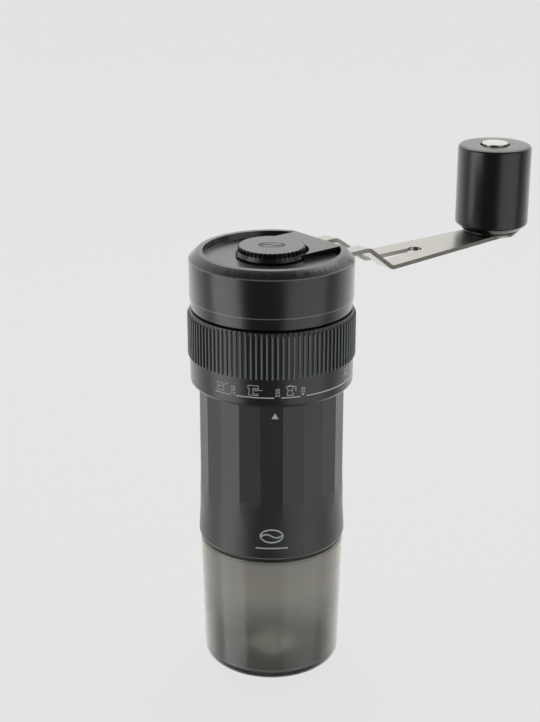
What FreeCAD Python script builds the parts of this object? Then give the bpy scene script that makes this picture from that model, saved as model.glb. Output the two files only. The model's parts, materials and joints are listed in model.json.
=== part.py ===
import FreeCAD, Part

import math
import os

os.makedirs("parts", exist_ok=True)

# Hand crank coffee grinder. Millimetres, +Z up along the grinding axis.
# The origin is on that axis, at the flat underside of the grounds cup.
# The scale's index mark faces -Y. The crank arm points CRANK_AZIMUTH degrees from +X towards +Y.

# ---- fits --------------------------------------------------------------------------------
RUN_FIT = 0.05            # radial clearance of a shaft or spigot that turns or slides
AIR = 0.3                 # gap between pieces that move past each other
SEAT = 0.05               # gap between pieces that are fastened face to face
SLIP = 0.02               # gap between small fastened pieces, such as a screw and its hole
CUT = 1.0                 # how far a cutting solid runs past the face that it cuts
WELD = 0.5                # how far two stretches of one piece run into each other
TINY = 0.01               # tolerance for finding an edge by its place

# ---- grounds cup -------------------------------------------------------------------------
CUP_H = 51.0
CUP_WALL = 2.0
CUP_FLOOR = 2.4
CUP_FLARE = 0.1           # mouth's radius beyond the sleeve's
CUP_TAPER = 1.2           # how much the cup narrows towards its floor, on the radius
CUP_EDGE_R = 4.0          # rounding round the cup's underside
CUP_INNER_EDGE_R = 2.6    # rounding round its floor
CUP_LIP_H = 1.2           # bevel round the mouth, down
CUP_LIP_IN = 0.5          # and in
CUP_MOUTH_RUN = 2.0       # straight stretch of the mouth below the spigot
CUP_PAD = 17.0            # side of the square pad moulded in the floor
CUP_PAD_H = 0.5
CUP_PAD_DEG = 45.0

# ---- body sleeve and neck ----------------------------------------------------------------
BODY_R = 27.0             # over the facets' corners
BODY_H = 87.0
BODY_WALL = 2.1
SEAM_H = 1.4              # shadow gap between the cup and the sleeve
FOOT_PROFILE = [(0.25, 0.0), (0.55, 0.9), (0.52, 3.0), (0.3, 6.5), (0.08, 10.0)]
# The flared foot: (radius beyond BODY_R, height above the sleeve's lower edge).
FOOT_H = 14.0             # where the flare ends
FACETS = 21               # flat facets round the sleeve
FACET_DEPTH = 0.36        # how far each facet cuts below the sleeve's round
FACET_FADE_Z = 25.0       # facets start to fade this far above the sleeve's lower edge
FACET_FADE_H = 15.0       # and run out over this height
FACET_RUN_OUT = 0.8       # how far beyond the round the fading cut ends
FACET_SIDE = 1.25         # a facet cutter's half width over the facet's own
FACET_LAP = 0.8           # facets end this far inside the ring
NECK_STEP = 0.1           # sleeve's step in where the ring runs
NECK_STEP_H = 0.2
LINER_WALL = 1.2          # hopper liner wall
NECK_LIP = 1.2            # neck collar's flange over the ring's inner edge
NECK_SPIGOT_IN = 0.6      # its spigot below BODY_R
NECK_BEVEL = 0.6
NECK_TOP_H = 9.6          # height over the sleeve
NECK_SKIN = 0.5           # neck collar's bore beyond the liner's

# ---- adjusting ring ----------------------------------------------------------------------
BAND_BUILD = 3.0          # printed band's radius beyond the sleeve's
RIB_PROUD = 0.75          # ribs' crests beyond the band
RIB_DEPTH = 0.7
RIBS = 100
RIB_LAND = 0.34           # a rib's crest as a share of its pitch
RIB_SLOPE = 0.16          # each flank's share
RIB_REACH = 0.1           # how far the ribs' cutter reaches beyond their crests
RIB_H = 15.8
RIB_FOOT = 0.25           # small bevels at the ribs' ends
RIB_FOOT_H = 0.5
RIB_TOP = 0.4
RIB_TOP_H = 0.2
BAND_H = 10.8
BAND_EDGE = 0.9           # bevel round the band's lower edge
BAND_EDGE_H = 1.0
BAND_DRAFT = 0.1          # the band's taper
RING_TOP_H = 1.4          # bevelled top above the ribs
RING_TOP_IN = 0.2
RING_OVER_BODY = 2.0      # ring's upper edge above the sleeve's
RING_GAP = 0.4            # ring's bore beyond the sleeve
RING_TURN_DEG = 70.0      # ring's travel each way
THREAD_LEAD = 2.3         # carrier lift per full turn of the ring
INSERT_WALL = 1.5         # threaded insert, sunk in the ring's bore
INSERT_SUNK = 0.2         # insert's bore beyond the ring's
INSERT_OVER_BEARING = 6.2
FLANGE_W = 1.0            # neck collar's flange beyond the ring's bore
LEAF_UP = 2.6             # detent leaf above the ring's lower edge
LEAF_H = 4.0
LEAF_T = 0.5
LEAF_SUNK = 0.1
LEAF_HALF_DEG = 24.0
LEAF_AT_DEG = 150.0
DETENTS = 36
DETENT_R = 0.9
DETENT_BUMP_R = 0.8
DETENT_IN = 0.5           # notch centres inside the ring's bore

# ---- burrs, their frame and the funnel ----------------------------------------------------
SPIGOT_H = 7.0            # how far the burr frame reaches into the cup
OUTER_BURR_R = 19.5
OUTER_BURR_H = 13.6
OUTER_BURR_UP = 2.2       # outer burr's foot above the sleeve's lower edge
INNER_BURR_R = 17.0       # cone burr's radius at its foot
INNER_BURR_TOP_R = 9.0
INNER_BURR_H = 19.0
INNER_BURR_UP = 0.6       # cone burr's foot above the outer burr's
BURR_BEVEL = 1.0
BURR_GAP = 0.6            # radial gap between the two burrs at rest
BURR_TEETH = 24
BURR_FLUTES = 6
FINE_H = 11.0             # height of the cone burr's fine teeth
FINE_DEPTH = 0.9
FINE_HALF_W = 2.4
FINE_LEAN = 9.0
FLUTE_START = 6.0
FLUTE_DEPTH = 2.2
FLUTE_HALF_W = 3.4
FLUTE_LEAN = 26.0
FLUTE_AT_DEG = 7.0
OUTER_TOOTH_IN = 0.7      # outer burr's teeth: their depth at the foot
OUTER_TOOTH_TOP = 1.4     # and at the top
OUTER_TOOTH_HALF_W = 1.2
OUTER_TOOTH_LEAN = -10.0
OUTER_MOUTH_H = 4.0       # the outer burr opens up over this height
SPIGOT_WALL = 2.2
SPIGOT_LEAD = 0.4         # lead-in bevel on the spigot
SPIGOT_LEAD_H = 0.6
FRAME_RIM_IN = 0.6        # frame's rim below the sleeve, inside its outer face
BURR_SHELF_W = 1.3        # ledge under the outer burr
BURR_SHELF_T = 1.6
SHELF_BRACE_H = 4.5
FUNNEL_H = 11.6
FUNNEL_LIP = 0.9
FUNNEL_OVER_BURR = 1.8    # funnel's throat inside the outer burr's outside
SCREW_R = 1.25
SCREW_L = 11.0
SCREW_HEAD_R = 2.3
SCREW_HEAD_H = 1.8
SCREW_UP = 2.4            # screw heads' seats above the frame
SCREW_OUT = 0.05          # screws beyond the middle of the frame's wall
SCREW_ROOM = 0.16         # their holes in the funnel beyond their shanks
SOCKET_AF = 2.0
SOCKET_FLOOR = 0.8
SEAL_R = 0.65
SEAL_SUNK = 0.5           # how far the seal's section centre lies inside the spigot
SEAL_DOWN = 3.0           # seal below the cup's rim
THREE = 3                 # lugs, frame ribs and screws stand three to a turn
LUG_AT_DEG = 30.0
RIB_AT_DEG = 90.0

# ---- shaft, bush and washers --------------------------------------------------------------
SHAFT_R = 4.0
SHAFT_DOWN = 1.2          # shaft's lower end below the spigot
BUSH_R = 6.0
BUSH_H = 5.4
BUSH_UP = 1.0             # bush above the spigot's lower edge
BUSH_FLANGE_T = 1.0
BUSH_FLANGE_W = 1.2
HUB_WALL = 1.8            # frame's hub round the bush
FRAME_RIB_HALF_W = 2.0
FRAME_RIB_H = 3.6
FRAME_RIB_IN = 1.5
HEX_AF = 6.5              # across flats of the shaft's drive hexagon
HEX_UP = 3.8              # hexagon's foot above the sleeve
HEX_UNDER_ARM = 4.2       # hexagon's top below the raised arm
STUD_R = 2.5              # threaded tip above the hexagon
STUD_H = 5.3
COLLAR_W = 2.2            # shaft's collar over the cone burr
COLLAR_H = 1.6
KEY_R = 1.2
KEY_HALF = 6.2
KEY_DOWN = 1.6            # key's axis below the collar
KEY_END = 0.3
CLIP_T = 0.7
CLIP_W = 1.0
CLIP_GROOVE = 0.5
CLIP_BITE = 0.45
CLIP_PLAY = 0.03
CLIP_MOUTH = 1.8          # half width of a clip's open side
CLIP_UNDER_BUSH = 0.8
WASHERS = 6
WASHER_T = 0.4
WASHER_IN = 0.3           # washers' bore beyond the shaft
WASHER_OUT = 1.4          # and rim beyond the bush
WASHER_GAP = 0.03

# ---- lift carrier and bearing -------------------------------------------------------------
BEARING_OR = 8.0
BEARING_W = 5.0
BEARING_DOWN = 9.4        # middle of the bearing below the sleeve's upper edge
RACE_T = 1.2
BALL_R = 1.35
BALL_PLAY = 0.04
BALLS = 9
SHIELD_T = 0.2
SHIELD_IN = 0.2
SHIELD_GAP = 0.1
CARRIER_WALL = 2.6        # carrier's hub round the bearing
CARRIER_LEDGE = 0.8       # its ledge under the bearing
CARRIER_TOP = 1.6
LUG_SLOT_W = 8.0          # upright slots that the carrier's lugs reach through
LUG_SLOT_IN_R = 15.0
LUG_T = 5.2
LUG_THREAD_IN = 0.1       # lugs' ends inside the ring's bore
LUG_POCKET_Z = 0.4        # lightening pockets under the lugs
LUG_POCKET_OUT = 3.0
LUG_POCKET_IN = 4.0
CIRCLIP_GROOVE_H = 0.8
CIRCLIP_T = 0.65
CIRCLIP_OUT = 0.4
CIRCLIP_IN = 0.9
CIRCLIP_MOUTH = 2.0
CIRCLIP_GROOVE_OUT = 0.5

# ---- cap and thumb nut ----------------------------------------------------------------------
CAP_UP = 0.7              # gap between the ring and the cap's lower lip
CAP_H = 20.9
CAP_SKIRT_H = 4.3         # height of the lip that tapers in, downwards
CAP_SKIRT_IN = 0.7
CAP_WALL_DOWN = 2.7       # top of the upright wall below the rim's crest
CAP_CREST_IN = 2.9        # crest inside the wall
CAP_CREST_W = 2.2
CAP_FLOOR_DOWN = 2.2      # sunk floor below the crest
CAP_FLOOR_T = 1.5
CAP_INNER_SLOPE = 0.7
CAP_WALL_T = 2.6
CAP_SHELF_T = 1.6         # ledge under the arm, outside the flat
CAP_SHELF_LAP = 1.0
CAP_SOFT = 0.12           # tiny bevels on the cap's edges
CREST_SOFT = 0.3
BRIDGE_HALF_W = 12.7      # raised bridge from the nut out to the flat
FLAT_IN = 7.4             # the flat's distance in from the cap's wall
NUT_R = 11.9              # top disc
NUT_RISE = 1.6            # nut's top above the crest
NUT_SKIRT_R = 13.1
NUT_SKIRT_SOFT = 0.3
NUT_EDGE_H = 1.7          # height of the toothed rim
NUT_RIM_OUT = 0.35        # rim's lower edge beyond the disc
NUT_TOP_SOFT = 0.5
NUT_TEETH = 44
NUT_TOOTH_OUT = 0.5
NUT_TOOTH_IN = 0.35
NUT_TOOTH_LAND = 0.3
NUT_BOSS_R = 6.0
NUT_BOSS_UP = 0.4         # boss's end above the hub's pocket floor
NUT_BORE_FIT = 0.08
NUT_BORE_END = 0.6
NUT_CLIP_DOWN = 1.1       # the clip's groove below the arm
NUT_CLIP_H = 0.8
NUT_CLIP_GROOVE = 0.6
NUT_CLIP_W = 1.2
NUT_CLIP_MOUTH = 2.5

# ---- crank arm, hub and fasteners -----------------------------------------------------------
CRANK_AZIMUTH = 39.5
CRANK_R = 115.5           # axis to knob axis
ARM_T = 1.6
ARM_UNDER_FLOOR = 1.6     # raised arm's top below the cap's floor
ARM_DROP = 9.3            # raised stretch down to the outer one
ARM_CREST_OUT = 7.5       # where the arm starts down, beyond the cap's wall
ARM_BEND_RUN = 12.5       # length of the slope in plan
ARM_BEND_RAD = 3.0
ARM_HALF_W = 11.8         # half width inside the bend
ARM_BEND_IN = 0.8         # how much narrower it is past the bend
ARM_BEND_PAST = 4.0
ARM_NECK_W = 7.6          # half width just short of the end
ARM_NECK_IN = 7.0
ARM_NECK_TAPER = 0.2
ARM_END_R = 8.4           # rounded end
ARM_END_OUT = 2.5         # end's centre beyond the knob axis
ARM_BLANK = 20.0          # half width of the bent blank
ARM_DEEP = 5.0            # plan cutters reach this far above and below the arm
SLOT_HALF_W = 6.2         # slot's half width at the crest
SLOT_MID_W = 3.0          # and past the bend
SLOT_END_W = 2.0          # and at its outer end
SLOT_END_R = 72.3         # centre of the round hole that ends the slot
SLOT_HOLE_R = 2.7
SLOT_IN_R = 15.5          # slot's inner end, under the bridge
ARM_BORE_FIT = 0.6        # arm's hole beyond the nut's boss
CAP_SCREW_ALONG = 18.0
CAP_SCREW_SIDE = 9.2
CAP_SCREW_R = 1.1
CAP_SCREW_ROOM = 0.1      # their holes in the arm beyond their shanks
CAP_SCREW_HEAD_R = 2.0
CAP_SCREW_HEAD_H = 1.45
CAP_SCREW_SKIN = 0.9      # plastic left over the screw's tip
CAP_SCREW_TIP = 0.2
RIVET_R = 1.5
RIVET_FIT = 0.03
RIVET_HEAD_W = 0.7
RIVET_HEAD_H = 1.0
RIVET_PCD_R = 9.6
RIVET_ANGLES = (90, 270, 180)
HUB_FLANGE_R = 12.0
HUB_FLANGE_T = 2.0
HUB_BOSS_R = 6.4
HUB_UP = 2.0              # hub's lower end above the hexagon's foot
NUT_POCKET_R = 7.8
NUT_POCKET_UP = 0.6       # pocket's floor above the hexagon

# ---- knob -------------------------------------------------------------------------------------
KNOB_R = 14.6
KNOB_H = 35.3             # knob's top above the arm
KNOB_TOP_R = 13.1
KNOB_FOOT_R = 11.9
KNOB_FOOT_H = 2.4
KNOB_FOOT_SOFT = 0.3
KNOB_FOOT_IN = 0.25
KNOB_BORE_FIT = 0.4
KNOB_ROUND_STEPS = 6
PIN_R = 3.0
PIN_HEAD_R = 5.2
PIN_HEAD_H = 1.5
PIN_HEAD_SOFT = 0.15
PIN_HEAD_FOOT = 0.2
PIN_BEVEL = 0.5
PIN_BEVEL_H = 0.35
PIN_FOOT_W = 1.4
PIN_FOOT_IN = 0.6
PIN_FOOT_H = 0.9
HEAD_RECESS = 1.0
RECESS_GAP = 0.7
KNOB_BUSH_WALL = 1.6
KNOB_BUSH_L = 6.0
COLLAR_R = 11.3
COLLAR_T = 1.0

# ---- sizes that follow from them ---------------------------------------------------------
CUP_TOP_R = BODY_R + CUP_FLARE
BASE_R = CUP_TOP_R - CUP_TAPER
BODY_Z0 = CUP_H + SEAM_H
BODY_Z1 = BODY_Z0 + BODY_H
BODY_IN_R = BODY_R - BODY_WALL
LINER_R = BODY_IN_R - SEAT
LINER_IN_R = LINER_R - LINER_WALL
NECK_R = BODY_R - NECK_STEP
NECK_BORE_R = LINER_IN_R + NECK_SKIN
NECK_TOP_Z = BODY_Z1 + NECK_TOP_H
RING_BORE_R = BODY_R + RING_GAP
BAND_R = BODY_R + BAND_BUILD
RING_R = BAND_R + RIB_PROUD
RING_Z1 = BODY_Z1 + RING_OVER_BODY
RIBS_Z1 = RING_Z1 - RING_TOP_H
RIBS_Z0 = RIBS_Z1 - RIB_H
RING_Z0 = RIBS_Z0 - BAND_H
FLANGE_R = RING_BORE_R + FLANGE_W
BEARING_Z = BODY_Z1 - BEARING_DOWN
BEARING_Z0 = BEARING_Z - BEARING_W / 2
BEARING_Z1 = BEARING_Z + BEARING_W / 2
BEARING_PITCH_R = (BEARING_OR + SHAFT_R) / 2
INSERT_R = RING_BORE_R + INSERT_WALL
INSERT_Z0 = RIBS_Z0 + RIB_TOP_H
INSERT_Z1 = BEARING_Z + INSERT_OVER_BEARING
LEAF_Z0 = RING_Z0 + LEAF_UP
LIFT = THREAD_LEAD * RING_TURN_DEG / 360.0
LUG_W = LUG_SLOT_W - 2 * AIR
LUG_SLOT_Z0 = BEARING_Z - LUG_T / 2 - LIFT - AIR
FRAME_R = BODY_IN_R - SEAT
SPIGOT_R = CUP_TOP_R - CUP_WALL - AIR
SPIGOT_Z0 = CUP_H - SPIGOT_H
SHAFT_Z0 = SPIGOT_Z0 - SHAFT_DOWN
OUTER_BURR_Z0 = BODY_Z0 + OUTER_BURR_UP
FRAME_TOP_Z = OUTER_BURR_Z0 + OUTER_BURR_H
LINER_Z0 = FRAME_TOP_Z + FUNNEL_H + SEAT
BUSH_Z0 = SPIGOT_Z0 + BUSH_UP
HUB_R = BUSH_R + HUB_WALL
BURR_Z0 = OUTER_BURR_Z0 + INNER_BURR_UP
BURR_SLOPE = (INNER_BURR_R - INNER_BURR_TOP_R) / INNER_BURR_H
SCREW_PCD_R = (OUTER_BURR_R + FRAME_R) / 2 + SCREW_OUT
SCREW_SEAT_Z = FRAME_TOP_Z + SCREW_UP
SEAL_Z = CUP_H - SEAL_DOWN
COLLAR_Z = BURR_Z0 + INNER_BURR_H
KEY_Z = COLLAR_Z - KEY_DOWN
CAP_R = BAND_R
CAP_Z0 = RING_Z1 + CAP_UP
CAP_Z1 = CAP_Z0 + CAP_H
CAP_SKIRT_Z = CAP_Z0 + CAP_SKIRT_H
CAP_SKIRT_R = CAP_R - CAP_SKIRT_IN
CAP_WALL_Z = CAP_Z1 - CAP_WALL_DOWN
CAP_CREST_R = CAP_R - CAP_CREST_IN
CAP_CREST_IN_R = CAP_CREST_R - CAP_CREST_W
CAP_FLOOR_Z = CAP_Z1 - CAP_FLOOR_DOWN
CAP_CEILING_Z = CAP_FLOOR_Z - CAP_FLOOR_T
CAP_INNER_R = CAP_R - CAP_WALL_T
CHORD_DIST = CAP_R - FLAT_IN
NUT_Z0 = CAP_FLOOR_Z + AIR
NUT_Z1 = CAP_Z1 + NUT_RISE
NUT_HOLE_R = NUT_BOSS_R + AIR
ARM_RAISED_Z = CAP_FLOOR_Z - ARM_UNDER_FLOOR
ARM_Z0 = ARM_RAISED_Z - ARM_T
ARM_FLAT_Z = ARM_RAISED_Z - ARM_DROP
ARM_CREST_R = CAP_R + ARM_CREST_OUT
ARM_BEND_R = ARM_CREST_R + ARM_BEND_RUN
ARM_PAST_R = ARM_BEND_R + ARM_BEND_PAST
ARM_NECK_R = CRANK_R - ARM_NECK_IN
ARM_END_X = CRANK_R + ARM_END_OUT
ARM_LOW_Z = ARM_FLAT_Z - ARM_DEEP
ARM_HIGH_Z = ARM_RAISED_Z + ARM_DEEP
HEX_Z0 = BODY_Z1 + HEX_UP
HEX_Z1 = ARM_RAISED_Z - HEX_UNDER_ARM
HUB_FLANGE_Z = ARM_Z0 - SEAT
HUB_FLANGE_Z0 = HUB_FLANGE_Z - HUB_FLANGE_T
HUB_Z0 = HEX_Z0 + HUB_UP
NUT_POCKET_Z = HEX_Z1 + NUT_POCKET_UP
NUT_BORE_Z = HEX_Z1 + STUD_H + NUT_BORE_END
NUT_GROOVE_Z = ARM_Z0 - NUT_CLIP_DOWN
KNOB_X = CRANK_R * math.cos(math.radians(CRANK_AZIMUTH))
KNOB_Y = CRANK_R * math.sin(math.radians(CRANK_AZIMUTH))
COLLAR_Z1 = ARM_FLAT_Z + AIR + COLLAR_T
KNOB_Z0 = COLLAR_Z1 + SLIP
KNOB_Z1 = ARM_FLAT_Z + KNOB_H
KNOB_BUSH_R = PIN_R + KNOB_BUSH_WALL
RECESS_Z = KNOB_Z1 - HEAD_RECESS
PIN_HEAD_Z = RECESS_Z + AIR
PIN_FOOT_Z = ARM_FLAT_Z - ARM_T
UP = FreeCAD.Vector(0, 0, 1)
ALONG = FreeCAD.Vector(1, 0, 0)
ORIGIN = FreeCAD.Vector(0, 0, 0)


# ---- helpers -----------------------------------------------------------------------------
def cyl(r, z0, z1, x=0.0, y=0.0):
    return Part.makeCylinder(r, z1 - z0, FreeCAD.Vector(x, y, z0), UP)


def tube(r_out, r_in, z0, z1, x=0.0, y=0.0):
    return cyl(r_out, z0, z1, x, y).cut(cyl(r_in, z0 - CUT, z1 + CUT, x, y))


def spun(points, x=0.0, y=0.0):
    """A closed outline of (radius, height) corners, spun about a vertical axis at x, y."""
    corners = [FreeCAD.Vector(x + r, y, z) for r, z in points]
    wire = Part.makePolygon(corners + [corners[0]])
    return Part.Face(wire).revolve(FreeCAD.Vector(x, y, 0), UP, 360)


def box(x0, x1, y0, y1, z0, z1):
    return Part.makeBox(x1 - x0, y1 - y0, z1 - z0, FreeCAD.Vector(x0, y0, z0))


def turned(shape, degrees):
    copy = shape.copy()
    copy.rotate(ORIGIN, UP, degrees)
    return copy


def to_crank(shape):
    """From lying along +X to lying along the crank arm."""
    return turned(shape, CRANK_AZIMUTH)


def ringed(shape, count, start=0.0):
    """The same solid, repeated evenly about the Z axis."""
    return [turned(shape, start + 360.0 * i / count) for i in range(count)]


def prism(points, z0, z1):
    corners = [FreeCAD.Vector(x, y, z0) for x, y in points]
    face = Part.Face(Part.makePolygon(corners + [corners[0]]))
    return face.extrude(FreeCAD.Vector(0, 0, z1 - z0))


def polar(r, degrees):
    return (r * math.cos(math.radians(degrees)), r * math.sin(math.radians(degrees)))


def hexagon(across_flats, z0, z1):
    sides = 6
    r = across_flats / math.sqrt(3)
    return prism([polar(r, 360 / sides * i) for i in range(sides)], z0, z1)


def toothed_outline(r_out, r_in, count, land, slope=RIB_SLOPE):
    """Corners round a ribbed edge: each rib keeps a share `land` of its pitch at full radius."""
    pitch = 360 / count
    points = []
    for i in range(count):
        for r, at in ((r_out, 0), (r_out, land), (r_in, land + slope), (r_in, 1 - slope)):
            points.append(polar(r, pitch * (i + at)))
    return points


def flat_edges(shape, z, wider_than):
    """A shape's level edges at one height, longer across than a given size."""
    return [e for e in shape.Edges if abs(e.BoundBox.ZMin - z) < TINY and e.BoundBox.ZLength < TINY
            and e.BoundBox.XLength > wider_than]


def save(name, *solids):
    shape = solids[0] if len(solids) == 1 else Part.makeCompound(list(solids))
    shape.exportStep("parts/%s.step" % name)


# ---- grounds cup -------------------------------------------------------------------------
def grounds_cup():
    outer = spun([(0, 0), (BASE_R, 0), (CUP_TOP_R, CUP_H - CUP_LIP_H), (CUP_TOP_R - CUP_LIP_IN, CUP_H),
                  (0, CUP_H)])
    outer = outer.makeFillet(CUP_EDGE_R, flat_edges(outer, 0, BASE_R))
    mouth_r = CUP_TOP_R - CUP_WALL
    inner = spun([(0, CUP_FLOOR), (BASE_R - CUP_WALL, CUP_FLOOR), (mouth_r, SPIGOT_Z0 - CUP_MOUTH_RUN),
                  (mouth_r, CUP_H + CUT), (0, CUP_H + CUT)])
    inner = inner.makeFillet(CUP_INNER_EDGE_R, flat_edges(inner, CUP_FLOOR, BASE_R))
    half = CUP_PAD / 2
    pad = box(-half, half, -half, half, CUP_FLOOR - WELD, CUP_FLOOR + CUP_PAD_H)
    return outer.cut(inner).fuse(turned(pad, CUP_PAD_DEG)).removeSplitter()


# ---- body sleeve, its liner, the neck collar and the detent leaf ------------------------------
def lug_slots():
    half = LUG_SLOT_W / 2
    slot = box(LUG_SLOT_IN_R, BODY_R + CUT, -half, half, LUG_SLOT_Z0, BODY_Z1 + CUT)
    return ringed(slot, THREE, LUG_AT_DEG)


def leaf_sector(r_out, r_in, z0, z1, half_deg):
    """A stretch of a thin wall round the axis, where the detent leaf lies."""
    reach = 2 * r_out
    wedge = prism([(0, 0), polar(reach, -half_deg), polar(reach, half_deg)], z0, z1)
    return turned(tube(r_out, r_in, z0, z1).common(wedge), LEAF_AT_DEG)


def facet_cutter():
    """What is cut away for one facet, in front of the axis: upright, and fading out in an arc below."""
    flat_r = BODY_R - FACET_DEPTH
    half = BODY_R * math.tan(math.pi / FACETS) * FACET_SIDE
    run_out = FACET_DEPTH + FACET_RUN_OUT
    beyond = 4 * CUT
    top_z = RING_Z0 + FACET_LAP
    fade_z = BODY_Z0 + FACET_FADE_Z
    low_z = fade_z - FACET_FADE_H

    def at(out, z):
        return FreeCAD.Vector(flat_r + out, -half, z)

    fade = Part.Arc(at(0, fade_z), at(run_out / 4, (fade_z + low_z) / 2), at(run_out, low_z))
    sides = Part.makePolygon([at(run_out, low_z), at(beyond, low_z), at(beyond, top_z), at(0, top_z),
                              at(0, fade_z)])
    outline = Part.Wire(sides.Edges + [fade.toShape()])
    return Part.Face(outline).extrude(FreeCAD.Vector(0, 2 * half, 0))


def body_sleeve():
    foot = [(BODY_R + out, BODY_Z0 + up) for out, up in FOOT_PROFILE]
    step_z = RING_Z0 + CUT
    shell = spun([(BODY_IN_R, BODY_Z0)] + foot + [
        (BODY_R, BODY_Z0 + FOOT_H), (BODY_R, step_z), (NECK_R, step_z + NECK_STEP_H), (NECK_R, BODY_Z1),
        (BODY_IN_R, BODY_Z1)])
    shell = shell.cut(ringed(facet_cutter(), FACETS, -90))
    room = 2 * LEAF_SUNK
    pocket = leaf_sector(NECK_R + CUT, NECK_R - LEAF_T - room, LEAF_Z0 - room, LEAF_Z0 + LEAF_H + room,
                         LEAF_HALF_DEG + 1)
    return shell.cut(lug_slots()).cut(pocket)


def hopper_liner():
    return tube(LINER_R, LINER_IN_R, LINER_Z0, BODY_Z1).cut(lug_slots())


def neck_collar():
    seat_z = BODY_Z1 + SEAT
    lip_z = BODY_Z1 + NECK_LIP
    spigot_r = BODY_R - NECK_SPIGOT_IN
    return spun([(NECK_BORE_R, seat_z), (FLANGE_R, seat_z), (FLANGE_R, lip_z), (spigot_r, lip_z),
                 (spigot_r, NECK_TOP_Z - NECK_BEVEL), (spigot_r - NECK_BEVEL, NECK_TOP_Z),
                 (NECK_BORE_R, NECK_TOP_Z)])


def detent_leaf():
    leaf_r = NECK_R - LEAF_SUNK
    leaf = leaf_sector(leaf_r, leaf_r - LEAF_T, LEAF_Z0, LEAF_Z0 + LEAF_H, LEAF_HALF_DEG)
    bump = cyl(DETENT_BUMP_R, LEAF_Z0, LEAF_Z0 + LEAF_H, leaf_r - LEAF_T - SEAT)
    bump = bump.cut(cyl(leaf_r - LEAF_T / 2, LEAF_Z0 - CUT, LEAF_Z0 + LEAF_H + CUT))
    return leaf.fuse(turned(bump, LEAF_AT_DEG)).removeSplitter()


# ---- adjusting ring and its threaded insert --------------------------------------------------
def adjust_ring():
    recess_r = FLANGE_R + AIR
    recess_z = BODY_Z1 - AIR
    ring = spun([
        (RING_BORE_R, RING_Z0), (BAND_R - BAND_EDGE, RING_Z0), (BAND_R - BAND_DRAFT, RING_Z0 + BAND_EDGE_H),
        (BAND_R, RIBS_Z0 - RIB_FOOT), (BAND_R, RIBS_Z0), (RING_R - RIB_FOOT, RIBS_Z0),
        (RING_R, RIBS_Z0 + RIB_FOOT_H), (RING_R, RIBS_Z1 - RIB_FOOT_H),
        (RING_R - RIB_TOP, RIBS_Z1 + RIB_TOP_H), (BAND_R - RING_TOP_IN, RING_Z1), (recess_r, RING_Z1),
        (recess_r, recess_z), (RING_BORE_R, recess_z), (RING_BORE_R, INSERT_Z1), (INSERT_R, INSERT_Z1),
        (INSERT_R, INSERT_Z0), (RING_BORE_R, INSERT_Z0)])
    root_r = RING_R - RIB_DEPTH
    ribs = prism(toothed_outline(RING_R + RIB_REACH, root_r, RIBS, RIB_LAND), RIBS_Z0, RIBS_Z1)
    top = spun([(0, RIBS_Z1), (root_r + RIB_TOP_H, RIBS_Z1), (RING_R - CUT, RING_Z1 + CUT),
                (0, RING_Z1 + CUT)])
    ring = ring.common(ribs.fuse([cyl(RING_R + CUT, RING_Z0 - CUT, RIBS_Z0), top]))
    notch = cyl(DETENT_R, LEAF_Z0 - AIR, LEAF_Z0 + LEAF_H + AIR, RING_BORE_R - DETENT_IN)
    return ring.cut(ringed(notch, DETENTS, LEAF_AT_DEG))


def ring_insert():
    return tube(INSERT_R - SEAT, RING_BORE_R + INSERT_SUNK, INSERT_Z0 + SEAT, INSERT_Z1 - SEAT)


# ---- lift carrier, its bearing and circlip --------------------------------------------------
def lift_carrier():
    hub_z1 = BEARING_Z1 + CARRIER_TOP
    reach_r = RING_BORE_R - LUG_THREAD_IN
    hub = tube(BEARING_OR + CARRIER_WALL, BEARING_OR - RACE_T, BEARING_Z0 - CARRIER_LEDGE, hub_z1)
    arm = box(BEARING_OR + CUT, reach_r, -LUG_W / 2, LUG_W / 2, BEARING_Z - LUG_T / 2,
              BEARING_Z + LUG_T / 2)
    pocket = box(BEARING_OR + LUG_POCKET_IN, LINER_IN_R - LUG_POCKET_OUT, -LUG_W, LUG_W, BEARING_Z - LUG_T,
                 BEARING_Z - LUG_POCKET_Z)
    body = hub.fuse(ringed(arm.cut(pocket), THREE, LUG_AT_DEG))
    body = body.cut(cyl(BEARING_OR, BEARING_Z0, hub_z1 + CUT))
    groove_z = BEARING_Z1 + CIRCLIP_GROOVE_H
    body = body.cut(tube(BEARING_OR + CIRCLIP_GROOVE_OUT, BEARING_OR - CUT, BEARING_Z1, groove_z))
    return body.common(cyl(reach_r, BEARING_Z - BEARING_OR, BEARING_Z + BEARING_OR)).removeSplitter()


def bearing_track():
    return Part.makeTorus(BEARING_PITCH_R, BALL_R + BALL_PLAY, FreeCAD.Vector(0, 0, BEARING_Z), UP)


def bearing_outer():
    return tube(BEARING_OR, BEARING_OR - RACE_T, BEARING_Z0, BEARING_Z1).cut(bearing_track())


def bearing_inner():
    return tube(SHAFT_R + RACE_T, SHAFT_R, BEARING_Z0, BEARING_Z1).cut(bearing_track())


def bearing_balls():
    return ringed(Part.makeSphere(BALL_R, FreeCAD.Vector(BEARING_PITCH_R, 0, BEARING_Z)), BALLS)


def bearing_shields():
    outer = BEARING_OR - RACE_T - SHIELD_GAP
    inner = SHAFT_R + RACE_T + 2 * SHIELD_GAP
    levels = (BEARING_Z0 + SHIELD_IN, BEARING_Z1 - SHIELD_IN - SHIELD_T)
    return [tube(outer, inner, z, z + SHIELD_T) for z in levels]


def bearing_circlip():
    z0 = BEARING_Z1 + SEAT
    ring = tube(BEARING_OR + CIRCLIP_OUT, BEARING_OR - CIRCLIP_IN, z0, z0 + CIRCLIP_T)
    return ring.cut(box(0, BEARING_OR + CUT, -CIRCLIP_MOUTH, CIRCLIP_MOUTH, z0 - CUT, z0 + CIRCLIP_T + CUT))


# ---- shaft, cone burr and what holds them ---------------------------------------------------
def clip_levels():
    return (BUSH_Z0 - CLIP_UNDER_BUSH - CLIP_T, BEARING_Z0 - CLIP_T, BEARING_Z1)


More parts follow.
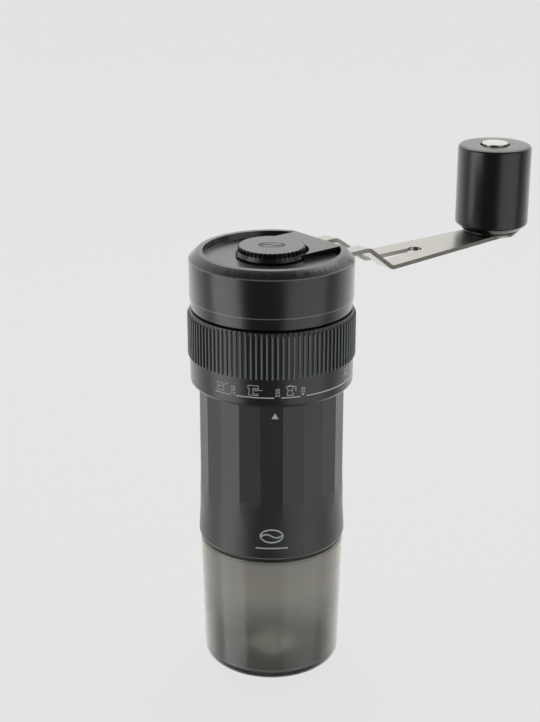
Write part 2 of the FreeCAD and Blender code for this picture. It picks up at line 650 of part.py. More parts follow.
def cross_pin(half, r):
    return Part.makeCylinder(r, 2 * half, FreeCAD.Vector(-half, 0, KEY_Z), ALONG)


def drive_shaft():
    body = cyl(SHAFT_R, SHAFT_Z0, HEX_Z0)
    body = body.fuse([cyl(SHAFT_R + COLLAR_W, COLLAR_Z, COLLAR_Z + COLLAR_H),
                      to_crank(hexagon(HEX_AF, HEX_Z0 - WELD, HEX_Z1)),
                      cyl(STUD_R, HEX_Z1 - WELD, HEX_Z1 + STUD_H)])
    for z in clip_levels():
        body = body.cut(tube(SHAFT_R + CUT, SHAFT_R - CLIP_GROOVE, z, z + CLIP_T))
    return body.cut(cross_pin(2 * SHAFT_R, KEY_R)).removeSplitter()


def shaft_clips():
    clips = []
    for z in clip_levels():
        ring = tube(SHAFT_R + CLIP_W, SHAFT_R - CLIP_BITE, z + CLIP_PLAY, z + CLIP_T - CLIP_PLAY)
        clips.append(ring.cut(box(0, SHAFT_R + 2 * CUT, -CLIP_MOUTH, CLIP_MOUTH, z - CUT, z + CLIP_T + CUT)))
    return clips


def burr_key():
    return cross_pin(KEY_HALF, KEY_R)


def wedge_groove(foot, head, half_w, lean):
    """A wedge between two triangles. Each end is (depth radius, open radius, height)."""
    ends = []
    for (deep, open_r, z), turn in ((foot, 0), (head, lean)):
        spin = FreeCAD.Rotation(UP, turn)
        plan = ((deep, 0), (open_r, -half_w), (open_r, half_w))
        corners = [spin.multVec(FreeCAD.Vector(x, y, z)) for x, y in plan]
        ends.append(Part.makePolygon(corners + [corners[0]]))
    return Part.makeLoft(ends, True, True)


def inner_burr():
    bore_r = SHAFT_R + SEAT
    cone = spun([(bore_r, BURR_Z0), (INNER_BURR_R - BURR_BEVEL, BURR_Z0),
                 (INNER_BURR_R, BURR_Z0 + BURR_BEVEL), (INNER_BURR_TOP_R, COLLAR_Z), (bore_r, COLLAR_Z)])
    open_w = 2 * CUT
    low_r = INNER_BURR_R + BURR_SLOPE
    high_r = INNER_BURR_R - BURR_SLOPE * (FINE_H - 2 * BURR_BEVEL)
    fine = wedge_groove((low_r - FINE_DEPTH, low_r + open_w, BURR_Z0 - CUT),
                        (high_r - FINE_DEPTH, high_r + open_w, BURR_Z0 + FINE_H), FINE_HALF_W, FINE_LEAN)
    mid_r = INNER_BURR_R - BURR_SLOPE * FLUTE_START
    top_r = INNER_BURR_TOP_R - BURR_GAP
    flute = wedge_groove((mid_r - FLUTE_DEPTH, mid_r + open_w, BURR_Z0 + FLUTE_START),
                         (top_r - FLUTE_DEPTH, top_r + open_w, COLLAR_Z + CUT), FLUTE_HALF_W, FLUTE_LEAN)
    cone = cone.cut(ringed(fine, BURR_TEETH)).cut(ringed(flute, BURR_FLUTES, FLUTE_AT_DEG))
    half = KEY_HALF + KEY_END
    room = KEY_R + SEAT
    return cone.cut(box(-half, half, -room, room, KEY_Z - room, COLLAR_Z + CUT))


def cone_r(z):
    """Inside radius of the outer burr at a height."""
    return INNER_BURR_R - BURR_SLOPE * (z - BURR_Z0 - BURR_BEVEL) + BURR_GAP


def outer_burr():
    z0 = OUTER_BURR_Z0
    z1 = FRAME_TOP_Z - SEAT
    mouth_z = z1 - OUTER_MOUTH_H
    ring = spun([(cone_r(z0), z0), (OUTER_BURR_R, z0), (OUTER_BURR_R, z1), (cone_r(z1) + BURR_BEVEL, z1),
                 (cone_r(mouth_z), mouth_z)])
    inside = SHAFT_R / 2
    tooth = wedge_groove((cone_r(z0) + OUTER_TOOTH_IN, inside, z0 - CUT),
                         (cone_r(z1) + OUTER_TOOTH_TOP, inside, z1 + CUT), OUTER_TOOTH_HALF_W,
                         OUTER_TOOTH_LEAN)
    return ring.cut(ringed(tooth, BURR_TEETH))


def preload_washers():
    """Conical spring washers, stacked in pairs with their rims and their bores together."""
    z0 = BUSH_Z0 + BUSH_H + WASHER_GAP
    pitch = (BURR_Z0 - WASHER_GAP - z0) / WASHERS
    high = pitch - WASHER_T - WASHER_GAP
    bore_r = SHAFT_R + WASHER_IN
    rim_r = BUSH_R + WASHER_OUT
    stack = []
    for i in range(WASHERS):
        z = z0 + pitch * i
        rim_up, bore_up = (high, 0) if i % 2 else (0, high)
        stack.append(spun([(bore_r, z + bore_up), (rim_r, z + rim_up), (rim_r, z + rim_up + WASHER_T),
                           (bore_r, z + bore_up + WASHER_T)]))
    return stack


# ---- burr frame, funnel, bush, screws and cup seal -------------------------------------------
def seal_ring(r):
    return Part.makeTorus(SPIGOT_R - SEAL_SUNK, r, FreeCAD.Vector(0, 0, SEAL_Z), UP)


def burr_frame():
    z0 = SPIGOT_Z0
    bore_r = SPIGOT_R - SPIGOT_WALL
    rim_r = BODY_R - FRAME_RIM_IN
    rim_z = BODY_Z0 - SEAT
    shelf_z = OUTER_BURR_Z0 - SEAT
    ledge_r = OUTER_BURR_R - BURR_SHELF_W
    pocket_r = OUTER_BURR_R + SEAT
    frame = spun([(bore_r, z0), (SPIGOT_R - SPIGOT_LEAD, z0), (SPIGOT_R, z0 + SPIGOT_LEAD_H),
                  (SPIGOT_R, CUP_H + AIR), (rim_r, CUP_H + AIR), (rim_r, rim_z), (FRAME_R, rim_z),
                  (FRAME_R, FRAME_TOP_Z), (pocket_r, FRAME_TOP_Z), (pocket_r, shelf_z), (ledge_r, shelf_z),
                  (ledge_r, shelf_z - BURR_SHELF_T), (bore_r, shelf_z - SHELF_BRACE_H)])
    hub = cyl(HUB_R, BUSH_Z0, BUSH_Z0 + BUSH_H - BUSH_FLANGE_T)
    rib = box(HUB_R - FRAME_RIB_IN, SPIGOT_R - FRAME_RIB_IN, -FRAME_RIB_HALF_W, FRAME_RIB_HALF_W,
              BUSH_Z0, BUSH_Z0 + FRAME_RIB_H)
    frame = frame.fuse([hub] + ringed(rib, THREE, RIB_AT_DEG))
    screw_hole = cyl(SCREW_R, SCREW_SEAT_Z - SCREW_L - WELD, FRAME_TOP_Z + CUT, SCREW_PCD_R)
    holes = [cyl(BUSH_R, z0 - CUT, BUSH_Z0 + BUSH_H + CUT)] + ringed(screw_hole, THREE, LUG_AT_DEG)
    return frame.cut(holes).cut(seal_ring(SEAL_R + SEAT)).removeSplitter()


def cup_seal():
    return seal_ring(SEAL_R)


def lower_bush():
    bore_r = SHAFT_R + RUN_FIT
    top_z = BUSH_Z0 + BUSH_H
    flange = tube(BUSH_R + BUSH_FLANGE_W, bore_r, top_z - BUSH_FLANGE_T, top_z)
    return tube(BUSH_R, bore_r, BUSH_Z0, top_z - BUSH_FLANGE_T / 2).fuse(flange).removeSplitter()


def bean_funnel():
    z0 = FRAME_TOP_Z + SEAT
    z1 = FRAME_TOP_Z + FUNNEL_H
    throat_r = OUTER_BURR_R - FUNNEL_OVER_BURR
    funnel = spun([(throat_r, z0), (FRAME_R, z0), (FRAME_R, z1), (FRAME_R - FUNNEL_LIP, z1),
                   (throat_r, z0 + FUNNEL_OVER_BURR)])
    shank = cyl(SCREW_R + SCREW_ROOM, z0 - CUT, z1 + CUT, SCREW_PCD_R)
    head = cyl(SCREW_HEAD_R + AIR, SCREW_SEAT_Z, z1 + CUT, SCREW_PCD_R)
    return funnel.cut(ringed(shank, THREE, LUG_AT_DEG)).cut(ringed(head, THREE, LUG_AT_DEG))


def burr_screws():
    z0 = SCREW_SEAT_Z + SLIP
    screw = cyl(SCREW_R - CLIP_PLAY, SCREW_SEAT_Z - SCREW_L, z0 + WELD, SCREW_PCD_R)
    screw = screw.fuse(cyl(SCREW_HEAD_R, z0, SCREW_SEAT_Z + SCREW_HEAD_H, SCREW_PCD_R)).removeSplitter()
    socket = hexagon(SOCKET_AF, SCREW_SEAT_Z + SOCKET_FLOOR, SCREW_SEAT_Z + SCREW_HEAD_H + CUT)
    socket.translate(ALONG * SCREW_PCD_R)
    return ringed(screw.cut(socket), THREE, LUG_AT_DEG)


# ---- crank head: cap, hub, arm, screws, rivets ----------------------------------------------
def cap_profile():
    """The cap's wall, crest and sunk floor, as an outline to spin."""
    return [(CAP_INNER_R, CAP_Z0), (CAP_SKIRT_R, CAP_Z0), (CAP_R - CAP_SOFT / 2, CAP_SKIRT_Z - CAP_SOFT),
            (CAP_R, CAP_SKIRT_Z + CAP_SOFT), (CAP_R, CAP_WALL_Z - CAP_SOFT),
            (CAP_R - 2 * CAP_SOFT, CAP_WALL_Z + CAP_SOFT),
            (CAP_CREST_R, CAP_Z1 - CAP_SOFT), (CAP_CREST_R - CREST_SOFT, CAP_Z1), (CAP_CREST_IN_R, CAP_Z1),
            (CAP_CREST_IN_R - CAP_INNER_SLOPE, CAP_FLOOR_Z), (NUT_HOLE_R, CAP_FLOOR_Z),
            (NUT_HOLE_R, CAP_CEILING_Z), (CAP_INNER_R, CAP_CEILING_Z)]


def cap_screw_spots():
    return [(CAP_SCREW_ALONG, side * CAP_SCREW_SIDE) for side in (-1, 1)]


def cap_shell():
    shelf_z = ARM_Z0 - AIR
    bridge = box(0, CAP_CREST_R, -BRIDGE_HALF_W, BRIDGE_HALF_W, CAP_CEILING_Z, CAP_Z1)
    bridge = bridge.cut([cyl(NUT_SKIRT_R + AIR, CAP_FLOOR_Z, CAP_Z1 + CUT),
                         cyl(NUT_HOLE_R, CAP_CEILING_Z - CUT, CAP_Z1 + CUT)])
    beyond = box(CHORD_DIST, CAP_R + CUT, -CAP_R, CAP_R, shelf_z, CAP_Z1 + CUT)
    cap = spun(cap_profile()).fuse(to_crank(bridge)).cut(to_crank(beyond))
    shelf_z0 = shelf_z - CAP_SHELF_T
    shelf = cyl(CAP_INNER_R + WELD, shelf_z0, shelf_z).common(
        box(CHORD_DIST - CAP_SHELF_LAP, CAP_R, -CAP_R, CAP_R, shelf_z0, shelf_z))
    cap = cap.fuse(to_crank(shelf))
    holes = [cyl(CAP_SCREW_R, ARM_LOW_Z, CAP_Z1 - CAP_SCREW_SKIN, x, y) for x, y in cap_screw_spots()]
    return cap.cut([to_crank(h) for h in holes]).removeSplitter()


def arm_strip():
    """The flat strip with its two bends, before it is cut to its plan outline."""
    reach = ARM_END_X + ARM_END_R + CUT
    back = -ARM_HALF_W - CUT
    shift = ARM_T * math.tan(math.atan2(ARM_DROP, ARM_BEND_RUN) / 2)
    upper_z = ARM_RAISED_Z - ARM_T
    lower_z = ARM_FLAT_Z - ARM_T
    top = [(back, ARM_RAISED_Z), (ARM_CREST_R, ARM_RAISED_Z), (ARM_BEND_R, ARM_FLAT_Z), (reach, ARM_FLAT_Z)]
    bottom = [(reach, lower_z), (ARM_BEND_R - shift, lower_z), (ARM_CREST_R - shift, upper_z),
              (back, upper_z)]
    corners = [FreeCAD.Vector(x, -ARM_BLANK, z) for x, z in top + bottom]
    strip = Part.Face(Part.makePolygon(corners + [corners[0]])).extrude(FreeCAD.Vector(0, 2 * ARM_BLANK, 0))

    def at_bend(edge, x, z):
        room = edge.BoundBox
        return room.YLength > ARM_BLANK and abs(room.XMin - x) < TINY and abs(room.ZMin - z) < TINY

    outside = ((ARM_CREST_R, ARM_RAISED_Z), (ARM_BEND_R - shift, lower_z))
    inside = ((ARM_BEND_R, ARM_FLAT_Z), (ARM_CREST_R - shift, upper_z))
    for radius, spots in ((ARM_BEND_RAD + ARM_T, outside), (ARM_BEND_RAD, inside)):
        for x, z in spots:
            strip = strip.makeFillet(radius, [e for e in strip.Edges if at_bend(e, x, z)])
    return strip


def both_sides(half_widths):
    """A plan outline that is the same on both sides of the arm's middle line."""
    return [(x, -w) for x, w in half_widths] + [(x, w) for x, w in reversed(half_widths)]


def arm_hole(r, x=0.0, y=0.0):
    return cyl(r, ARM_LOW_Z, ARM_HIGH_Z, x, y)


def rivet_places(shape):
    return [turned(shape, angle) for angle in RIVET_ANGLES]


def crank_arm():
    """The bent strip cut to its plan outline, forked by a slot that ends in a round hole."""
    outline = both_sides([(0, ARM_HALF_W), (ARM_CREST_R, ARM_HALF_W), (ARM_PAST_R, ARM_HALF_W - ARM_BEND_IN),
                          (ARM_NECK_R, ARM_NECK_W), (ARM_END_X, ARM_NECK_W - ARM_NECK_TAPER)])
    plan = prism(outline, ARM_LOW_Z, ARM_HIGH_Z).fuse([arm_hole(ARM_HALF_W), arm_hole(ARM_END_R, ARM_END_X)])
    slot = both_sides([(SLOT_IN_R, SLOT_HALF_W), (ARM_CREST_R, SLOT_HALF_W), (ARM_PAST_R, SLOT_MID_W),
                       (SLOT_END_R, SLOT_END_W)])
    cuts = [prism(slot, ARM_LOW_Z, ARM_HIGH_Z), arm_hole(SLOT_HOLE_R, SLOT_END_R),
            arm_hole(NUT_BOSS_R + ARM_BORE_FIT), arm_hole(PIN_R, CRANK_R)]
    cuts += [arm_hole(CAP_SCREW_R + CAP_SCREW_ROOM, x, y) for x, y in cap_screw_spots()]
    cuts += rivet_places(arm_hole(RIVET_R, RIVET_PCD_R))
    return to_crank(arm_strip().common(plan).cut(cuts).removeSplitter())


def cap_screws():
    tip_z = CAP_Z1 - CAP_SCREW_SKIN - CAP_SCREW_TIP
    head_z = ARM_Z0 - SEAT
    screws = []
    for x, y in cap_screw_spots():
        shank = cyl(CAP_SCREW_R - 2 * SLIP, head_z - WELD, tip_z, x, y)
        head = cyl(CAP_SCREW_HEAD_R, head_z - CAP_SCREW_HEAD_H, head_z, x, y)
        screws.append(to_crank(shank.fuse(head).removeSplitter()))
    return screws


def drive_hub():
    hub = cyl(HUB_FLANGE_R, HUB_FLANGE_Z0, HUB_FLANGE_Z).fuse(cyl(HUB_BOSS_R, HUB_Z0, HUB_FLANGE_Z0 + WELD))
    above = HUB_FLANGE_Z + CUT
    cuts = [cyl(NUT_POCKET_R, NUT_POCKET_Z, above), hexagon(HEX_AF + 2 * RUN_FIT, HUB_Z0 - CUT, above)]
    cuts += rivet_places(cyl(RIVET_R, HUB_FLANGE_Z0 - CUT, above, RIVET_PCD_R))
    return to_crank(hub.cut(cuts).removeSplitter())


def arm_rivets():
    head_z = HUB_FLANGE_Z0 - RIVET_FIT
    rivet = cyl(RIVET_R - RIVET_FIT, head_z - WELD, ARM_RAISED_Z, RIVET_PCD_R)
    head = cyl(RIVET_R + RIVET_HEAD_W, head_z - RIVET_HEAD_H, head_z, RIVET_PCD_R)
    return [to_crank(one) for one in rivet_places(rivet.fuse(head).removeSplitter())]


# ---- thumb nut ------------------------------------------------------------------------------
def thumb_nut():
    edge_z = NUT_Z1 - NUT_EDGE_H
    head = spun([(0, NUT_Z0), (NUT_SKIRT_R - NUT_SKIRT_SOFT, NUT_Z0), (NUT_SKIRT_R, NUT_Z0 + NUT_SKIRT_SOFT),
                 (NUT_R + NUT_RIM_OUT, edge_z), (NUT_R + NUT_SKIRT_SOFT, NUT_Z1 - NUT_TOP_SOFT),
                 (NUT_R, NUT_Z1), (0, NUT_Z1)])
    teeth = prism(toothed_outline(NUT_R + NUT_TOOTH_OUT, NUT_R - NUT_TOOTH_IN, NUT_TEETH, NUT_TOOTH_LAND),
                  edge_z - CUT, NUT_Z1 + CUT)
    head = head.cut(cyl(NUT_SKIRT_R + CUT, edge_z, NUT_Z1 + CUT).cut(teeth))
    boss = cyl(NUT_BOSS_R, NUT_POCKET_Z + NUT_BOSS_UP, NUT_Z0 + WELD)
    groove = tube(NUT_BOSS_R + CUT, NUT_BOSS_R - NUT_CLIP_GROOVE, NUT_GROOVE_Z, NUT_GROOVE_Z + NUT_CLIP_H)
    bore = cyl(STUD_R + NUT_BORE_FIT, NUT_POCKET_Z - CUT, NUT_BORE_Z)
    return head.fuse(boss).cut([groove, bore]).removeSplitter()


def nut_clip():
    z0 = NUT_GROOVE_Z + SEAT
    z1 = NUT_GROOVE_Z + NUT_CLIP_H - SEAT
    ring = tube(NUT_BOSS_R + NUT_CLIP_W, NUT_BOSS_R - NUT_CLIP_GROOVE + SEAT, z0, z1)
    return ring.cut(box(0, NUT_BOSS_R + 2 * CUT, -NUT_CLIP_MOUTH, NUT_CLIP_MOUTH, z0 - CUT, z1 + CUT))


# ---- knob, its pin, bushes and collar ---------------------------------------------------------
def at_knob(r, z0, z1):
    return cyl(r, z0, z1, KNOB_X, KNOB_Y)


def knob_tube(r_out, r_in, z0, z1):
    return tube(r_out, r_in, z0, z1, KNOB_X, KNOB_Y)


def crank_knob():
    round_r = KNOB_R - KNOB_TOP_R
    shoulder = []
    for i in range(KNOB_ROUND_STEPS + 1):
        out, up = polar(round_r, 90 * i / KNOB_ROUND_STEPS)
        shoulder.append((KNOB_TOP_R + out, KNOB_Z1 - round_r + up))
    side_z = KNOB_Z0 + KNOB_FOOT_H
    foot = [(0, KNOB_Z0), (KNOB_FOOT_R, KNOB_Z0), (KNOB_R - KNOB_FOOT_IN, side_z - KNOB_FOOT_SOFT),
            (KNOB_R, side_z + KNOB_FOOT_SOFT)]
    knob = spun(foot + shoulder + [(0, KNOB_Z1)], KNOB_X, KNOB_Y)
    cuts = [at_knob(PIN_R + KNOB_BORE_FIT, KNOB_Z0 - CUT, KNOB_Z1 + CUT),
            at_knob(PIN_HEAD_R + RECESS_GAP, RECESS_Z, KNOB_Z1 + CUT),
            at_knob(KNOB_BUSH_R, KNOB_Z0 - CUT, KNOB_Z0 + KNOB_BUSH_L),
            at_knob(KNOB_BUSH_R, RECESS_Z - KNOB_BUSH_L, KNOB_Z1)]
    return knob.cut(cuts).removeSplitter()


def knob_bushes():
    bore_r = PIN_R + RUN_FIT
    return [knob_tube(KNOB_BUSH_R, bore_r, KNOB_Z0, KNOB_Z0 + KNOB_BUSH_L),
            knob_tube(KNOB_BUSH_R, bore_r, RECESS_Z - KNOB_BUSH_L, RECESS_Z)]


def knob_collar():
    return knob_tube(COLLAR_R, PIN_R + RUN_FIT, COLLAR_Z1 - COLLAR_T + SLIP, COLLAR_Z1)


def knob_pin():
    z1 = PIN_HEAD_Z + PIN_HEAD_H
    head = spun([(0, PIN_HEAD_Z), (PIN_HEAD_R - PIN_HEAD_SOFT, PIN_HEAD_Z),
                 (PIN_HEAD_R, PIN_HEAD_Z + PIN_HEAD_FOOT), (PIN_HEAD_R, z1 - PIN_BEVEL_H),
                 (PIN_HEAD_R - PIN_BEVEL, z1), (0, z1)], KNOB_X, KNOB_Y)
    foot = spun([(0, PIN_FOOT_Z - PIN_FOOT_H), (PIN_R + PIN_FOOT_IN, PIN_FOOT_Z - PIN_FOOT_H),
                 (PIN_R + PIN_FOOT_W, PIN_FOOT_Z - SLIP), (0, PIN_FOOT_Z - SLIP)], KNOB_X, KNOB_Y)
    return at_knob(PIN_R, PIN_FOOT_Z - WELD, PIN_HEAD_Z + WELD).fuse([head, foot]).removeSplitter()


# ---- write every piece -------------------------------------------------------------------------
SINGLE = (grounds_cup, body_sleeve, hopper_liner, neck_collar, detent_leaf, burr_frame, outer_burr,
          bean_funnel, lower_bush, cup_seal, adjust_ring, ring_insert, lift_carrier, bearing_outer,
          bearing_circlip, drive_shaft, bearing_inner, burr_key, inner_burr, cap_shell, crank_arm, drive_hub,
          knob_pin, thumb_nut, nut_clip, crank_knob, knob_collar)
GROUPS = (burr_screws, bearing_balls, bearing_shields, shaft_clips, preload_washers, arm_rivets,
          cap_screws, knob_bushes)
for piece in SINGLE:
    save(piece.__name__, piece())
for pieces in GROUPS:
    save(pieces.__name__, *pieces())
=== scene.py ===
# %% [markdown]
# A slim hand coffee grinder, dressed for a studio picture. The engineering parts come in already placed, in
# metres, with the grinding axis on Z and the index mark facing -Y. This lesson turns the outside pieces on
# a "lathe" made of Blender's own operators, gives every piece a material, and sets up the light.

# %% The frame
import json
import math

import bpy
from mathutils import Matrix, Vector


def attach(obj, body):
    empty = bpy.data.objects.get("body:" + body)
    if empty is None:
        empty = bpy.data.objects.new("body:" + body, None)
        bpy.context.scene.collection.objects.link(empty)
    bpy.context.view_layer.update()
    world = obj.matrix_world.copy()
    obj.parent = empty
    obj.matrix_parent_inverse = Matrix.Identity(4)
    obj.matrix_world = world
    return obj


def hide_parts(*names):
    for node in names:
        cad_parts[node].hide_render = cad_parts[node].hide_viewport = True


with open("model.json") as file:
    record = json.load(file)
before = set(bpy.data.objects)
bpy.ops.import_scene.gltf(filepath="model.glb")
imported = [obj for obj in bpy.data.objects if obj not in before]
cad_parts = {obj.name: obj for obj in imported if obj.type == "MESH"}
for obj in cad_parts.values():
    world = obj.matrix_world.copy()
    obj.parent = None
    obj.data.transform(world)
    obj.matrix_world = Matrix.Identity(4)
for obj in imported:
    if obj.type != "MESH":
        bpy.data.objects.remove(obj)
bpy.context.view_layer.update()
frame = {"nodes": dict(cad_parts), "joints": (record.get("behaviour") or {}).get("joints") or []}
MM = 0.001
print("engineering parts:", len(frame["nodes"]))

# %% [markdown]
# The looks have to fit the engineering parts, so sizes are read from them instead of being typed again. A
# round part needs three numbers: its foot, its top and its greatest radius. The knob turns on its own pin,
# and that joint tells where the pin stands and which way the crank points.

# %% Sizes from the engineering parts
def measure(node, at=(0.0, 0.0)):
    """A round part's lowest point, highest point and radius about the axis `at`, in mm, to 0.01 mm."""
    spots = [vertex.co / MM for vertex in frame["nodes"][node].data.vertices]
    heights = [spot.z for spot in spots]
    reach = max(math.hypot(spot.x - at[0], spot.y - at[1]) for spot in spots)
    return round(min(heights), 2), round(max(heights), 2), round(reach, 2)


pin_spot = next(joint["pos_m"] for joint in frame["joints"] if joint["name"] == "knob_spin")
PIN_X = pin_spot[0] / MM
PIN_Y = pin_spot[1] / MM
PIN_AXIS = (PIN_X, PIN_Y)
CRANK_DEG = math.degrees(math.atan2(PIN_Y, PIN_X))
CUP_FOOT, CUP_TOP, CUP_R = measure("grounds_cup")
SLEEVE_FOOT, _, FLARE_R = measure("body_sleeve")
RING_FOOT, RING_TOP, RIB_R = measure("adjust_ring")
CAP_FOOT, CAP_TOP, CAP_R = measure("cap_shell")
print("cup, sleeve, ring and cap radius in mm:", CUP_R, FLARE_R, RIB_R, CAP_R)
print("crank points at", round(CRANK_DEG, 2), "degrees, pin in mm:", round(PIN_X, 1), round(PIN_Y, 1))

# %% [markdown]
# Colours are picked as sRGB hex values, which is what a colour card or a screen shows. Shaders work with
# linear light, so one function converts them. A second small function adds a shader node together with its
# settings and its links, which keeps each recipe below readable.

# %% Colours and nodes
def paint(code):
    """An sRGB hex colour as linear red, green, blue and alpha."""
    parts = [int(code[i:i + 2], 16) / 255 for i in (0, 2, 4)]
    return tuple(c / 12.92 if c <= 0.04045 else ((c + 0.055) / 1.055) ** 2.4 for c in parts) + (1.0,)


def add_node(tree, kind, settings=None, **sockets):
    """A shader node. A socket is given a number, a colour, or another node's output to link from.

    Where a node has several sockets of one name, `i` and a number picks one. On a Mix node for colours,
    i0 is the share, and i6 and i7 are the two colours.
    """
    made = tree.nodes.new("ShaderNode" + kind)
    for name, value in (settings or {}).items():
        setattr(made, name, value)
    for name, value in sockets.items():
        by_number = name[0] == "i" and name[1:].isdigit()
        socket = made.inputs[int(name[1:]) if by_number else name.replace("_", " ")]
        if isinstance(value, bpy.types.NodeSocket):
            tree.links.new(value, socket)
        else:
            socket.default_value = value
    return made


def blank(name, **constants):
    """A new material, its node tree and its Principled shader, with the shader's own sockets set."""
    made = bpy.data.materials.new(name)
    made.use_nodes = True
    shader = made.node_tree.nodes["Principled BSDF"]
    for socket, value in constants.items():
        shader.inputs[socket.replace("_", " ")].default_value = value
    return made, made.node_tree, shader


COLOURS = {"data_type": "RGBA"}
print("black-green plastic in linear light:", [round(c, 4) for c in paint("2A302C")])

# %% [markdown]
# Dark plastic is painted paler where an edge or a crest catches the light, as painted highlights: on the
# sleeve's lower edge, round a cap's rim, on the crests of ribs. Two helpers say where that is. The first
# follows level edges by their height, and the second finds what stands out furthest from the axis.

# %% Painted highlights
def at_heights(tree, place, heights_mm, half_mm=0.3):
    """1 on the edges at these heights, falling to 0 a little above and below."""
    z = add_node(tree, "SeparateXYZ", Vector=place).outputs["Z"]
    share = None
    for height in heights_mm:
        away = add_node(tree, "Math", {"operation": "SUBTRACT"}, i0=z, i1=height * MM)
        away = add_node(tree, "Math", {"operation": "ABSOLUTE"}, i0=away.outputs["Value"])
        line = add_node(tree, "MapRange", Value=away.outputs["Value"], From_Min=half_mm * 0.4 * MM,
                        From_Max=half_mm * MM, To_Min=1.0, To_Max=0.0).outputs["Result"]
        if share is not None:
            line = add_node(tree, "Math", {"operation": "MAXIMUM"}, i0=share, i1=line).outputs["Value"]
        share = line
    return share


def beyond_radius(tree, place, inner_mm, outer_mm):
    """0 inside one radius round the axis, and 1 outside the other."""
    flat = add_node(tree, "VectorMath", {"operation": "MULTIPLY"}, i0=place, i1=(1.0, 1.0, 0.0))
    reach = add_node(tree, "VectorMath", {"operation": "LENGTH"}, i0=flat.outputs["Vector"])
    return add_node(tree, "MapRange", Value=reach.outputs["Value"], From_Min=inner_mm * MM,
                    From_Max=outer_mm * MM).outputs["Result"]


# Heights of the edges where a painted highlight is laid.
SLEEVE_EDGE_Z = SLEEVE_FOOT + 0.5
CAP_STEP_Z = CAP_FOOT + 4.3
CAP_EDGE_Z = CAP_TOP - 2.7
print("rubbed edges at z in mm:", round(SLEEVE_EDGE_Z, 2), round(CAP_STEP_Z, 2), round(CAP_EDGE_Z, 2))

# %% [markdown]
# The housing, the ring, the cap and the nut are moulded ABS. Their moulds are spark eroded, which leaves a
# fine even grain. It breaks reflections into a soft satin sheen. The real grain is about 0.1 mm, too fine
# to show at this size, so it is drawn three times coarser. A slow second noise stands for how the colour
# drifts a little as the melt flows.

# %% Moulded plastic
def dress(tree, shader, colour, sheen, relief):
    """Links a colour, a roughness and a bump node to the shader."""
    tree.links.new(colour.outputs[2], shader.inputs["Base Color"])
    tree.links.new(sheen.outputs["Result"], shader.inputs["Roughness"])
    tree.links.new(relief.outputs["Normal"], shader.inputs["Normal"])


def moulded(name, dark, light, rough, grain_mm, depth_mm, drift_mm=14.0, highlight_mask=None, painted_highlight="000000",
            **constants):
    """`highlight_mask` is a function that gives the share of painted highlight at a place. There the colour
    turns to `painted_highlight`.
    """
    made, tree, shader = blank(name, **constants)
    place = add_node(tree, "TexCoord").outputs["Object"]
    drift = add_node(tree, "TexNoise", Vector=place, Scale=1 / (drift_mm * MM), Detail=3.0)
    grain = add_node(tree, "TexNoise", Vector=place, Scale=1 / (grain_mm * MM), Detail=2.0, Roughness=0.6)
    colour = add_node(tree, "Mix", COLOURS, i0=drift.outputs["Fac"], i6=paint(dark), i7=paint(light))
    # Painted highlight: the colour turns paler where the mask says, a little unevenly.
    if highlight_mask:
        patchy = add_node(tree, "MapRange", Value=drift.outputs["Fac"], From_Min=0.3, From_Max=0.7,
                          To_Min=0.65)
        share = add_node(tree, "Math", {"operation": "MULTIPLY"}, i0=highlight_mask(tree, place),
                         i1=patchy.outputs["Result"])
        colour = add_node(tree, "Mix", COLOURS, i0=share.outputs["Value"], i6=colour.outputs[2],
                          i7=paint(painted_highlight))
    sheen = add_node(tree, "MapRange", Value=drift.outputs["Fac"], To_Min=rough - 0.05, To_Max=rough + 0.05)
    relief = add_node(tree, "Bump", Height=grain.outputs["Fac"], Strength=0.35, Distance=depth_mm * MM)
    dress(tree, shader, colour, sheen, relief)
    return made


REAL_GRAIN_MM = 0.1
GRAIN_MM = 0.32
print("shown grain is", round(GRAIN_MM / REAL_GRAIN_MM, 1), "times the real one")

# %% [markdown]
# One recipe gives all the moulded plastics, because what sets them apart is only their colour, their sheen
# and their grain. ABS has an IOR of 1.54, nylon 1.53 and silicone rubber 1.41. The finish comes from the
# mould: an eroded one makes satin, and a polished one makes gloss.

# %% Plastics and rubber
ABS_IOR = 1.54
# ABS, moulded in a spark eroded mould: a dark satin surface with a green cast and broad soft highlights.
# The sleeve's lower edge is painted paler: a painted highlight along that edge.
satin_abs = moulded("ABS, spark eroded mould, black green", "262D28", "30372F", 0.42, GRAIN_MM, 0.02,
                    IOR=ABS_IOR, painted_highlight="7C827E",
                    highlight_mask=lambda tree, place: at_heights(tree, place, (SLEEVE_EDGE_Z,)))
# The cap, the nut and the collar are polished by the hand: darker, closer to gloss, with painted highlights
# on the cap's edges.
cap_abs = moulded("ABS, spark eroded mould, hand polished", "151B17", "1E2420", 0.27, GRAIN_MM, 0.015,
                  IOR=ABS_IOR, painted_highlight="7A807C",
                  highlight_mask=lambda tree, place: at_heights(tree, place, (CAP_STEP_Z, CAP_EDGE_Z), 0.28))
# The same ABS on the ring. Its rib crests are painted paler, as a painted highlight where each crest catches
# the light.
ring_abs = moulded("ABS, spark eroded mould, ribbed ring", "171D19", "212824", 0.33, GRAIN_MM, 0.015,
                   IOR=ABS_IOR, painted_highlight="707873",
                   highlight_mask=lambda tree, place: beyond_radius(tree, place, RIB_R - 0.35, RIB_R - 0.13))
# ABS from a polished mould: the knob's near-black soft gloss, with faint waves where the wall has shrunk.
gloss_abs = moulded("ABS, polished mould, black gloss", "090C0A", "0E1210", 0.3, 9.0, 0.03, IOR=ABS_IOR)
# Glass-filled nylon: dull and slightly grey, from the glass fibres at its surface.
filled_nylon = moulded("Nylon, glass filled, moulded", "17181A", "232426", 0.55, 0.4, 0.03, drift_mm=3.0,
                       IOR=1.53)
# Natural nylon: the bushes in the knob, milky and a little waxy.
natural_nylon = moulded("Nylon, natural, moulded", "C9C4B4", "DAD6C8", 0.4, 0.6, 0.01, IOR=1.53)
